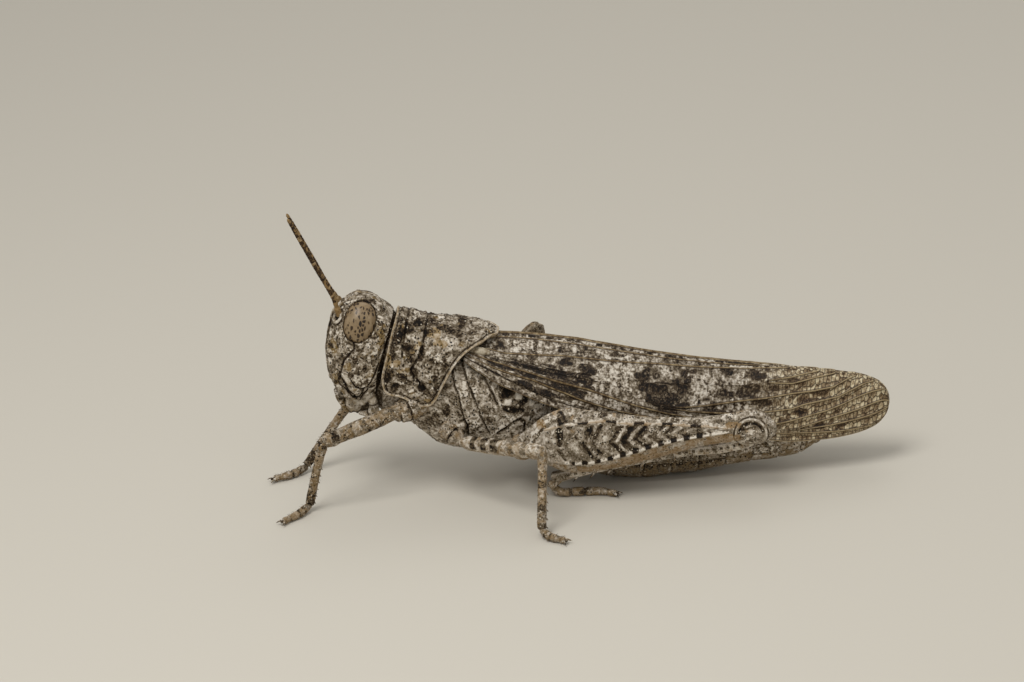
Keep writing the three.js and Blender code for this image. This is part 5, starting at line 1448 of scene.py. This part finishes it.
def makeThigh(side):
    shape = thighShape
    place, scale = stations(*shape["span"], shape["rows"], *shape["caps"])
    y0, z0, width, rise, drop = through(shape["sections"], place).T
    angle = fullTurn(shape["around"])
    across, up = ovalRing(angle, shape["square"])
    x = np.repeat(place[:, None], len(angle), 1)
    z = z0[:, None] + np.where(up > 0, rise[:, None], drop[:, None]) * up * scale[:, None]
    y = side * (y0[:, None] + (width * scale)[:, None] * across)
    grid = np.stack([x, y, z], -1)
    normal = normalsOf(grid)
    outer = ease(-0.1, 0.15, across)[None] * np.ones_like(x)
    upper = np.interp(x, *np.array(shape["upperLine"]).T)
    lower = np.interp(x, *np.array(shape["lowerLine"]).T)
    body = (1 - ease(7.4, 8.0, x)) * ease(-3.6, -2.8, x)
    w = np.clip((z - lower) / np.maximum(upper - lower, 0.05), -0.5, 1.5)
    field = ease(0.02, 0.12, w) * (1 - ease(0.88, 0.98, w)) * body
    topLine = along(x, z, shape["upperLine"], 0.075) * (1 - ease(7.4, 8.2, x))
    lowLine = along(x, z, shape["lowerLine"], 0.08) * (1 - ease(7.2, 8.0, x))
    # herringbone: ridges slope away from a middle line, points toward the hip
    phase = (x - shape["chevronSlope"] * np.abs(2 * w - 1.0)) / shape["chevron"] + 0.12 * cloud(grid, 0.9, 71) + 4.5
    ridge = bell(phase % 1 - 0.5, 0.2)
    lift = 0.085 * topLine + 0.085 * lowLine - 0.06 * field + 0.07 * ridge * field
    depth = np.array(shape["chevronDepth"])
    deep = depth[np.clip(np.floor(phase), 0, len(depth) - 1).astype(int)]
    pale = 1.3 * topLine + 2.0 * lowLine * ease(-2.8, -1.8, x) + 0.15 * ridge * field
    dark = deep * 1.9 * (1 - ridge) ** 1.5 * field * np.clip(0.82 + 0.8 * cloud(grid, 0.4, 72), 0, 1.1)
    gaps = ease(0.15, 0.55, np.sin(2 * math.pi * (x - 0.2) / 1.7)) * (x < 6.8) * (x > -1.9)
    dark += 1.7 * gaps * along(x, z - 0.02, shape["upperLine"], 0.09)
    dashes = ease(-0.1, 0.3, np.sin(2 * math.pi * (x + 1.3) / shape["dash"]))
    dashes = dashes * ease(-2.2, -1.7, x) * (1 - ease(6.2, 6.8, x))
    dark += 2.0 * dashes * along(x, z - 0.05, shape["lowerLine"], 0.15)
    pale = pale * (1 - dashes * (lowLine > 0.05)) * (1 - gaps * (topLine > 0.05))
    arc = along(x, z, shape["baseArc"], 0.08)
    lift += 0.06 * arc
    pale += 1.15 * arc
    dark += 0.9 * along(x - 0.13, z + 0.13, shape["baseArc"], 0.08) * (arc < 0.3)
    below = (1 - ease(-0.12, -0.02, w)) * body
    above = ease(1.03, 1.12, w) * body
    grains, tone = pebbles(grid, shape["granule"], 73)
    lift += above * 0.03 * (grains - 0.4) + 0.012 * cloud(grid, 0.5, 74)
    # knee: a round lobe with a raised rim under a crescent
    cx, cz, r0 = shape["knee"]
    r = np.hypot(x - cx, z - cz)
    upperHalf = ease(-0.1, 0.25, z - cz)
    lift += 0.06 * bell(r - r0, 0.08) - 0.07 * bell(r - r0 + 0.22, 0.09) * upperHalf
    lift += 0.05 * bell(z - cz - 0.14 * (x - cx), 0.09) * (r < 0.75)
    lift -= 0.05 * bell(r - 0.42, 0.08) * (z > cz)
    dark += 2.0 * bell(r - r0 + 0.2, 0.1) * upperHalf + 1.1 * bell(r - r0 - 0.12, 0.05)
    dark += 0.9 * bell(r - 0.42, 0.07) * (z > cz)
    pale += 0.3 * bell(r - r0, 0.08) + 1.0 * bell(z - cz - 0.12 - 0.14 * (x - cx), 0.12) * (r < 0.66)
    ragged = 0.55 * cloud(grid, 0.35, 75)
    innerBands = ease(0.25, 0.5, np.sin(2 * math.pi * (x + 0.6) / shape["innerBand"]))
    dark = (dark + smudges(x, z, shape["dark"], ragged)) * outer + (1 - outer) * 0.8 * innerBands
    lift = lift * outer + (1 - outer) * 0.012 * (grains - 0.4)
    pale = (pale + smudges(x, z, shape["pale"], ragged)) * outer + 0.3 * (1 - outer)
    pale += 0.25 * above * (tone > 0.7) * grains
    warm = smudges(x, z, shape["warm"], 0.3 * ragged) + 0.7 * topLine + 0.5 * below + 0.5 * (1 - outer)
    points = fromStance(grid + normal * lift[..., None])
    calm = np.clip(0.8 * (topLine + lowLine) + 0.2 * below + 0.5 * bell(r - r0, 0.12, 4), 0, 0.85) * outer
    return gridPart(points, marksOf(x.shape, dark, pale, warm), calm)


thighLook = {
    "spot": 0.3, "grain": 0.09, "base": 0.79,
    "blotchGain": 0.6, "spotGain": 1.5, "fineGain": 0.9, "grainGain": 0.22,
    "ochre": "#8e6f42", "ochreShare": 0.38, "ochreDepth": 0.6, "paleGain": 0.4, "darkGain": 0.6, "rough": 0.55,
    "specks": [(0.18, 0.3, "#cbc0ac", 0.36, 21.0), (0.16, 0.34, "#181109", 0.44, 33.0)],
}
thighCuticle = granulatedCuticle("herringboneThighCuticle", {**shellLook, **thighLook})


def thorn(root, direction, length, radius, bend=(0, 0, 0)):
    direction = unit(np.array(direction, float))
    share = np.linspace(0, 1, 9)[:, None]
    path = np.array(root, float) + direction * length * share + np.array(bend, float) * share**2
    size = radius * (1 - share[:, 0]) ** 0.75 + 0.012
    rings, length, _ = tube(path, size, size, 10, (0.04, 0.01), hint=(0.21, 0.9, 0.35))
    marks = marksOf(length.shape, 0.85 * ease(0.55, 0.9, length), 0.6 * (1 - ease(0.4, 0.8, length)), 0.2)
    return gridPart(fromStance(rings), marks)


bristle = {"length": (0.1, 0.22), "radius": 0.012, "shins": 60, "feet": 50, "thighs": 24}


def makeBristles(path, radii, count, seed, lay=fromStance):  # short stiff hairs leaning toward the end of a limb
    rng = np.random.default_rng(seed)
    fine = smoothPath(path, 300)
    tangent = unit(np.gradient(fine, axis=0))
    radii = np.array(radii)
    parts = []
    for i in rng.integers(12, 286, count):
        out = rng.normal(size=3)
        out = unit(out - tangent[i] * np.dot(out, tangent[i]))
        root = fine[i] + out * (np.interp(i / 299, radii[:, 0], radii[:, 1]) - 0.03)
        way = unit(out * rng.uniform(0.5, 1.0) + tangent[i] * rng.uniform(0.4, 1.0))
        across = unit(np.cross(way, tangent[i] + 0.01))
        other = np.cross(way, across)
        long = rng.uniform(*bristle["length"])
        turn = fullTurn(5)
        ring = np.cos(turn)[:, None] * across + np.sin(turn)[:, None] * other
        share = np.array([0.0, 0.4, 0.75, 1.0])[:, None, None]
        grow = np.array([1.0, 0.8, 0.5, 0.12])[:, None, None]
        rings = root + way * (long + 0.03) * share + ring[None] * bristle["radius"] * grow
        rings = rings - out * 0.05 * long * share**2
        rings[..., 2] = np.maximum(rings[..., 2], 0.02) if lay is fromStance else rings[..., 2]
        parts.append(gridPart(lay(rings), marksOf(rings.shape[:2], 0.5, 0.4 * (i % 2), 0.6)))
    return parts


limbLook = {  # bands and rims: share of the way along, half width (and strength)
    "bands": [], "bandsAbove": False, "rims": [], "pinches": [], "dashes": 0, "keel": 0.0, "keelPale": 0.0,
    "mottle": 0.35, "patch": 0.4, "shade": 0.0, "light": 0.15, "warm": 0.4, "calm": 0.0,
}


def makeLimb(points, radii, rows, around, look, seed, caps=(0.2, 0.2), square=2.2, hint=(0.31, 0.93, 0.2)):
    look = {**limbLook, **look}
    path = smoothPath(points, rows)
    share = np.linspace(0, 1, rows)
    radius = np.interp(share, *np.array(radii).T)
    for pinch in look["pinches"]:
        radius = radius * (1 - 0.34 * bell(share - pinch, 0.022))
    rings, length, angle = tube(path, radius, radius, around, caps, square, hint)
    normal = normalsOf(rings)
    lift = 0.016 * cloud(rings, 0.35, seed) + 0.012 * (pebbles(rings, 0.16, seed + 1)[0] - 0.4)
    dark = np.zeros_like(length)
    height = (rings[..., 2] - rings[..., 2].mean(1, keepdims=True)) / np.maximum(radius.mean(), 1e-6)
    upper = ease(-0.6, -0.25, height) if look["bandsAbove"] else 1.0
    for centre, half, strength in look["bands"]:
        wave = 0.02 * cloud(rings, 0.3, seed + 3)
        dark = np.maximum(dark, strength * upper * (1 - ease(0.7, 1.2, np.abs(length + wave - centre) / half)))
    if look["dashes"]:  # a broken dark line along the outer side
        outward = (rings[..., 1] - rings[..., 1].mean(1, keepdims=True)) * np.sign(rings[..., 1].mean())
        row = bell(height - 0.1, 0.28) * (outward > 0)
        beat = np.sin(2 * math.pi * look["dashes"] * length + 2.5 * cloud(rings, 0.9, seed + 7))
        dark = np.maximum(dark, 1.4 * row * ease(-0.1, 0.4, beat))
    keel = bell(np.abs(angle - math.pi) - 0.9, 0.16)
    lift += look["keel"] * keel
    pale = look["keelPale"] * keel + look["light"]
    for centre, half in look["rims"]:
        ring = bell(length - centre, half)
        lift += 0.05 * ring - 0.05 * bell(length - centre - 2.2 * half, half)
        pale = pale + 0.9 * ring
        dark = dark + 1.2 * bell(length - centre - 2.2 * half, half)
    patch = ease(0.2, 0.5, cloud(rings, look["patch"], seed + 5))
    dark = dark + look["mottle"] * patch
    for pinch in look["pinches"]:
        dark += 0.5 * bell(length - pinch, 0.03)
    dark = dark * (1 - 0.5 * keel * (look["keelPale"] > 0)) + look["shade"]
    points = fromStance(rings + normal * lift[..., None])
    points[..., 2] = np.maximum(points[..., 2], 0.004)
    return gridPart(points, marksOf(length.shape, dark, pale, look["warm"]), np.full(length.shape, look["calm"]))


def makeFoot(points, radii, look, seed):  # three joints, two claws and the cushion between
    parts = [makeLimb(points, radii, 110, 36, look, seed, (0.16, 0.14))]
    path = np.array(points, float)
    toe = path[-1]
    forward = toe - path[-2]
    forward = unit(forward * np.array([1, 1, 0]))
    across = np.array([-forward[1], forward[0], 0])
    for turn in (-1, 1):
        root = toe + across * turn * 0.09 + forward * 0.02 + np.array([0, 0, 0.02])
        way = forward + across * turn * 0.55 + np.array([0, 0, 0.06])
        parts.append(thorn(root, way, 0.46, 0.075, (0, 0, -0.13)))
    cushion = np.array([toe, toe + forward * 0.12, toe + forward * 0.24])
    rings, length, _ = tube(smoothPath(cushion, 12), 0.11, 0.08, 20, (0.06, 0.08), hint=(0.1, 0.2, 1))
    parts.append(gridPart(fromStance(rings), marksOf(length.shape, 0.55, 0, 0.2)))
    return parts


shinShape = {
    "path": [
        [9.1, 3.62, 3.5], [7.7, 3.4, 3.04], [4.7, 3.2, 2.7], [0.6, 3, 2.02], [-2.2, 2.9, 1.5], [-3.1, 2.86, 1.26],
    ],
    "radius": [[0.0, 0.36], [0.05, 0.42], [0.12, 0.36], [0.35, 0.3], [0.7, 0.29], [0.92, 0.33], [1.0, 0.37]],
    "look": {
        "bands": [(0.06, 0.03, 0.5), (0.2, 0.02, 0.4), (0.42, 0.03, 0.45), (0.7, 0.04, 0.4), (0.97, 0.05, 0.6)],
        "keel": 0.02, "keelPale": 0.3, "mottle": 0.15, "warm": 0.2, "light": 1.15, "calm": 0.3, "dashes": 30,
    },
    "spines": 9,
    "spurs": [(-1, 0.55), (-1, 0.4), (1, 0.55), (1, 0.4)],  # side and length
}
footShape = {
    "path": [[-3.36, 2.86, 0.9], [-3.0, 2.88, 0.42], [-1.6, 2.95, 0.3], [-0.3, 3.0, 0.26], [0.5, 3.35, 0.24]],
    "radius": [[0.0, 0.22], [0.2, 0.26], [0.5, 0.27], [0.75, 0.25], [0.9, 0.2], [1.0, 0.22]],
    "look": {"pinches": [0.36, 0.55], "mottle": 0.35, "warm": 0.45, "shade": 0.12},
}
hipShape = {
    "path": [[-4.9, 2.1, 3.0], [-5.0, 2.42, 3.32], [-5.05, 2.7, 3.6]],
    "radius": [[0.0, 0.78], [0.6, 0.72], [1.0, 0.58]],
}


def mirrored(points, side):
    return [[p[0], side * p[1], *p[2:]] for p in points]


for label, side in sides:
    makePiece(f"hindThigh{label.title()}", [makeThigh(side)], thighCuticle, [f"hind_femur_{label}"])
    hip = makeLimb(mirrored(hipShape["path"], side), hipShape["radius"], 60, 60, {"mottle": 0.4}, 81, (0.3, 0.3))
    makePiece(f"hindHip{label.title()}", [hip], legCuticle, [f"hind_coxa_{label}"])
    path = mirrored(shinShape["path"], side)
    shin = [makeLimb(path, shinShape["radius"], 260, 40, shinShape["look"], 83)]
    fine = smoothPath(path, 400)
    for i in range(shinShape["spines"]):
        at = fine[int(399 * (0.3 + 0.66 * i / (shinShape["spines"] - 1)))]
        for row in (-1, 1):
            root = at + np.array([0, row * 0.17, -0.16])
            shin.append(thorn(root, (-0.6, row * 0.5, -0.72), 0.52, 0.085, (-0.06, 0, 0)))
    for row, length in shinShape["spurs"]:
        root = fine[-8] + np.array([-0.05, row * (0.2 if length > 0.5 else 0.1), -0.18])
        shin.append(thorn(root, (-0.35, row * 0.4, -0.8), length, 0.08, (0.08, 0, 0)))
    shin += makeBristles(path, shinShape["radius"], bristle["shins"], 183 + side)
    makePiece(f"hindShin{label.title()}", shin, legCuticle, [f"hind_tibia_{label}"])
    foot = makeFoot(mirrored(footShape["path"], side), footShape["radius"], footShape["look"], 85)
    foot += makeBristles(mirrored(footShape["path"], side), footShape["radius"], bristle["feet"], 283 + side)
    makePiece(f"hindFoot{label.title()}", foot, legCuticle, [f"hind_tarsus_{label}"])
print("hind legs")


walkLegs = {
    "front_left": {
        "coxa": [[-11.0, -1.2, 6.1], [-11.75, -1.6, 5.85], [-12.5, -1.95, 5.66]], "hip": 0.9,
        "femur": [[-11.95, -1.98, 6.03], [-14.4, -2.75, 5.35], [-16.75, -3.35, 4.7]],
        "tibia": [[-16.98, -3.42, 4.52], [-17.6, -3.34, 2.6], [-18.15, -3.2, 0.6]],
        "tarsus": [[-18.25, -3.26, 0.4], [-18.8, -4.1, 0.28], [-19.6, -4.95, 0.26]],
    },
    "front_right": {
        "coxa": [[-11.0, 1.2, 6.1], [-11.6, 1.6, 5.85], [-12.2, 1.95, 5.66]], "hip": 0.9,
        "femur": [[-11.8, 2.05, 5.98], [-13.8, 2.9, 5.1], [-15.75, 3.75, 4.25]],
        "tibia": [[-15.98, 3.8, 4.05], [-17.45, 3.3, 2.3], [-18.8, 2.8, 0.6]],
        "tarsus": [[-18.95, 2.7, 0.38], [-19.8, 1.95, 0.28], [-20.75, 1.5, 0.26]],
    },
    "mid_left": {
        "coxa": [[-9.5, -1.85, 4.5], [-9.1, -2.15, 4.2], [-8.75, -2.4, 3.95]], "hip": 0.7,
        "femur": [[-8.5, -2.6, 3.8], [-6.0, -4.7, 4.25], [-3.6, -6.7, 4.68]],
        "tibia": [[-3.45, -6.95, 4.58], [-3.6, -7.8, 2.6], [-3.74, -8.6, 0.62]],
        "tarsus": [[-3.7, -8.72, 0.4], [-3.3, -9.25, 0.28], [-2.45, -9.85, 0.26]],
    },
    "mid_right": {
        "coxa": [[-9.5, 1.85, 4.5], [-9.1, 2.15, 4.2], [-8.75, 2.4, 3.95]], "hip": 0.7,
        # painted shade: the far middle thigh is darkened overall and made less pale
        "thighLook": {"shade": 0.6, "light": 0.3},
        "femur": [[-8.5, 2.66, 4.08], [-5.85, 4.8, 6.45], [-4.12, 6.52, 7.45]],
        "tibia": [[-3.9, 6.8, 7.3], [-3.95, 7.6, 3.7], [-3.7, 8.3, 0.62]],
        "tarsus": [[-3.66, 8.42, 0.4], [-3.1, 8.9, 0.28], [-2.2, 9.3, 0.26]],
    },
}
hipLook = {"mottle": 1.2, "patch": 0.18, "warm": 0.3, "calm": 0.05}
walkLooks = {
    "hipRadius": [(0.0, 1.0), (0.55, 0.92), (0.8, 0.78), (1.0, 0.6)],
    "thigh": [[0.0, 0.3], [0.06, 0.4], [0.35, 0.47], [0.6, 0.47], [0.85, 0.42], [0.93, 0.47], [1.0, 0.4]],
    "shin": [[0.0, 0.26], [0.07, 0.31], [0.2, 0.27], [0.6, 0.26], [0.9, 0.28], [1.0, 0.27]],
    "foot": [[0.0, 0.2], [0.25, 0.25], [0.6, 0.24], [0.85, 0.18], [1.0, 0.21]],
    "front": {
        "hip": {**hipLook, "rims": [(0.5, 0.03), (0.78, 0.025)]},
        "thigh": {
            "bands": [
                (0.2, 0.03, 0.3), (0.36, 0.03, 0.3), (0.52, 0.035, 0.4), (0.68, 0.03, 0.35), (0.86, 0.05, 0.5),
            ],
            "mottle": 0.9, "patch": 0.22, "bandsAbove": True, "keel": 0.02, "warm": 0.35,
        },
        "shin": {
            "bands": [(0.05, 0.04, 0.4), (0.88, 0.12, 0.7)],
            "mottle": 1.0, "patch": 0.16, "shade": 0.12, "warm": 0.5,
        },
        "foot": {"pinches": [0.3, 0.5], "mottle": 0.3, "shade": 0.15},
    },
    "mid": {
        "hip": {**hipLook, "rims": [(0.5, 0.03)]},
        "thigh": {
            "bands": [
                (0.2, 0.035, 1.5), (0.33, 0.035, 1.4), (0.46, 0.045, 1.5), (0.66, 0.035, 0.8), (0.8, 0.03, 0.6),
            ],
            "mottle": 0.3, "patch": 0.3, "keel": 0.03, "keelPale": 0.6, "light": 0.6, "calm": 0.35,
            "bandsAbove": True,
        },
        "shin": {
            "bands": [(0.05, 0.04, 0.4), (0.42, 0.05, 0.55), (0.72, 0.06, 0.6), (0.95, 0.05, 0.5)],
            "patch": 0.25, "keel": 0.015,
        },
        "foot": {"pinches": [0.3, 0.5], "mottle": 0.3, "shade": 0.2},
    },
    "spines": 6,
}

for name, leg in walkLegs.items():
    pair, label = name.split("_")
    look = walkLooks[pair]
    seed = 90 + 7 * list(walkLegs).index(name)
    title = f"{pair}{{}}{label.title()}"
    hipRadius = [[share, leg["hip"] * part] for share, part in walkLooks["hipRadius"]]
    hip = makeLimb(leg["coxa"], hipRadius, 110, 60, look["hip"], seed, (0.3, 0.3))
    makePiece(title.format("Hip"), [hip], legCuticle, [f"{pair}_coxa_{label}"])
    thighLook = {**look["thigh"], **leg.get("thighLook", {})}
    thigh = [makeLimb(leg["femur"], walkLooks["thigh"], 170, 56, thighLook, seed + 1, (0.26, 0.26))]
    thigh += makeBristles(leg["femur"], walkLooks["thigh"], bristle["thighs"], seed + 200)
    makePiece(title.format("Thigh"), thigh, legCuticle, [f"{pair}_femur_{label}"])
    shin = [makeLimb(leg["tibia"], walkLooks["shin"], 150, 40, look["shin"], seed + 2, (0.24, 0.2))]
    fine = smoothPath(leg["tibia"], 200)
    way = unit(fine[-1] - fine[0])
    across = unit(np.cross(way, (0.3, 0.9, 0.2)))
    behind = np.cross(way, across)
    for i in range(walkLooks["spines"]):
        at = fine[int(199 * (0.4 + 0.58 * i / (walkLooks["spines"] - 1)))]
        for row in (-1, 1):
            out = across * row * 0.7 + behind * 0.7 * (1 if behind[0] > 0 else -1)
            shin.append(thorn(at + out * 0.18, out + way * 0.8, 0.3, 0.06))
    shin += makeBristles(leg["tibia"], walkLooks["shin"], bristle["shins"], seed + 201)
    makePiece(title.format("Shin"), shin, legCuticle, [f"{pair}_tibia_{label}"])
    foot = makeFoot(leg["tarsus"], walkLooks["foot"], look["foot"], seed + 3)
    foot += makeBristles(leg["tarsus"], walkLooks["foot"], bristle["feet"], seed + 202)
    makePiece(title.format("Foot"), foot, legCuticle, [f"{pair}_tarsus_{label}"])
print("walking legs")


tailShape = {
    "base": [[16.3, 0, -0.5], [16.7, 0, -0.5], [17.0, 0, -0.5]],
    "valve": [[16.8, 0, 0.18], [17.1, 0, 0.22], [17.4, 0, 0.24], [17.75, 0, 0.34]],
    "cercus": [[16.3, 1.02, 0.2], [16.85, 1.14, 0.2], [17.35, 1.1, 0.16]],
}


def trunkLimb(points, radii, rows, around, dark, seed, caps=(0.1, 0.06)):
    path = smoothPath(points, rows)
    radius = np.interp(np.linspace(0, 1, rows), np.linspace(0, 1, len(radii)), radii)
    rings, length, _ = tube(path, radius, radius * 0.85, around, caps, hint=(0.1, 0.2, 1))
    points = fromTrunk(roughened(rings, 0.015, 0.25, seed))
    points[..., 2] = np.maximum(points[..., 2], 0.01)
    return gridPart(points, marksOf(length.shape, dark * ease(0.55, 0.95, length), 0.25, 0.6))


valves = [trunkLimb(tailShape["base"], [0.66, 0.6, 0.42], 40, 60, 0.0, 131, (0.2, 0.12))]
for turn in (-1, 1):
    for side in (-1, 1):
        path = [[s, side * 0.13, -0.34 + turn * h] for s, _, h in tailShape["valve"]]
        valves.append(trunkLimb(path, [0.27, 0.27, 0.22, 0.05], 50, 32, 0.95, 133 + turn))
makePiece("eggValves", valves, legCuticle, ["ovipositor"])
for label, side in sides:
    cercus = [trunkLimb(mirrored(tailShape["cercus"], side), [0.2, 0.19, 0.14, 0.05], 40, 28, 0.4, 141)]
    makePiece(f"cercus{label.title()}", cercus, legCuticle, [f"cercus_{label}"])
print("tail")


floorMesh = bpy.data.meshes.new("paleFloor")
floorMesh.from_pydata([(-1, -1, 0), (1, -1, 0), (1, 1, 0), (-1, 1, 0)], [], [(0, 1, 2, 3)])
floor = addObject("paleFloor", floorMesh)
# Paper backdrop, uncoated: matt, so the shadows stay soft.
floorMaterial = newMaterial("mattPaleFloor")
shadeWith(floorMaterial.node_tree, {"Base Color": toLinear("#cbc5b8"), "Roughness": 0.85, "IOR": 1.45})
floorMesh.materials.append(floorMaterial)

studio = {
    "aim": (-7.233, 0.0, 9.23), "turn": 4.0, "rise": 22.0, "roll": 4.6, "distance": 263.8, "lens": 152.08,
    "world": 0.6, "worldColour": "#e9e8e6",
    "lights": [  # place around (0 in front of the camera side), height angle, distance, size and watts
        ("keyLight", -25, 62, 170, 95, 0.16), ("fillLight", 35, 40, 200, 120, 0.02),
        ("backLight", 165, 50, 200, 110, 0.03),
    ],
}
aim = np.array(studio["aim"])


def fromAim(turn, rise, distance):
    a, e = math.radians(turn), math.radians(rise)
    return aim + distance * np.array([math.sin(a) * math.cos(e), -math.cos(a) * math.cos(e), math.sin(e)])


def pointAt(item, place, roll=0.0):
    d = unit(place - aim)
    a = unit(np.cross((0, 0, 1), d))
    b = np.cross(d, a)
    c, n = math.cos(roll), math.sin(roll)
    right, up = a * c - b * n, b * c + a * n
    matrix = [[right[i], up[i], d[i], place[i] * mm] for i in range(3)] + [[0, 0, 0, 1]]
    item.matrix_world = Matrix(matrix)


for name, turn, rise, distance, size, watts in studio["lights"]:
    light = bpy.data.lights.new(name, "AREA")
    light.shape, light.size, light.energy = "DISK", size * mm, watts
    pointAt(addObject(name, light), fromAim(turn, rise, distance))
world = bpy.data.worlds.new("softStudio")
bpy.context.scene.world = world
world.use_nodes = True
world.node_tree.nodes["Background"].inputs[0].default_value = toLinear(studio["worldColour"])
world.node_tree.nodes["Background"].inputs[1].default_value = studio["world"]
bpy.context.scene.view_settings.view_transform = "Standard"

lens = bpy.data.cameras.new("camera")
lens.lens, lens.sensor_width, lens.clip_start, lens.clip_end = studio["lens"], 36.0, 0.01, 10.0
camera = addObject("camera", lens)
pointAt(camera, fromAim(studio["turn"], studio["rise"], studio["distance"]), math.radians(studio["roll"]))
bpy.context.scene.camera = camera
print("studio")
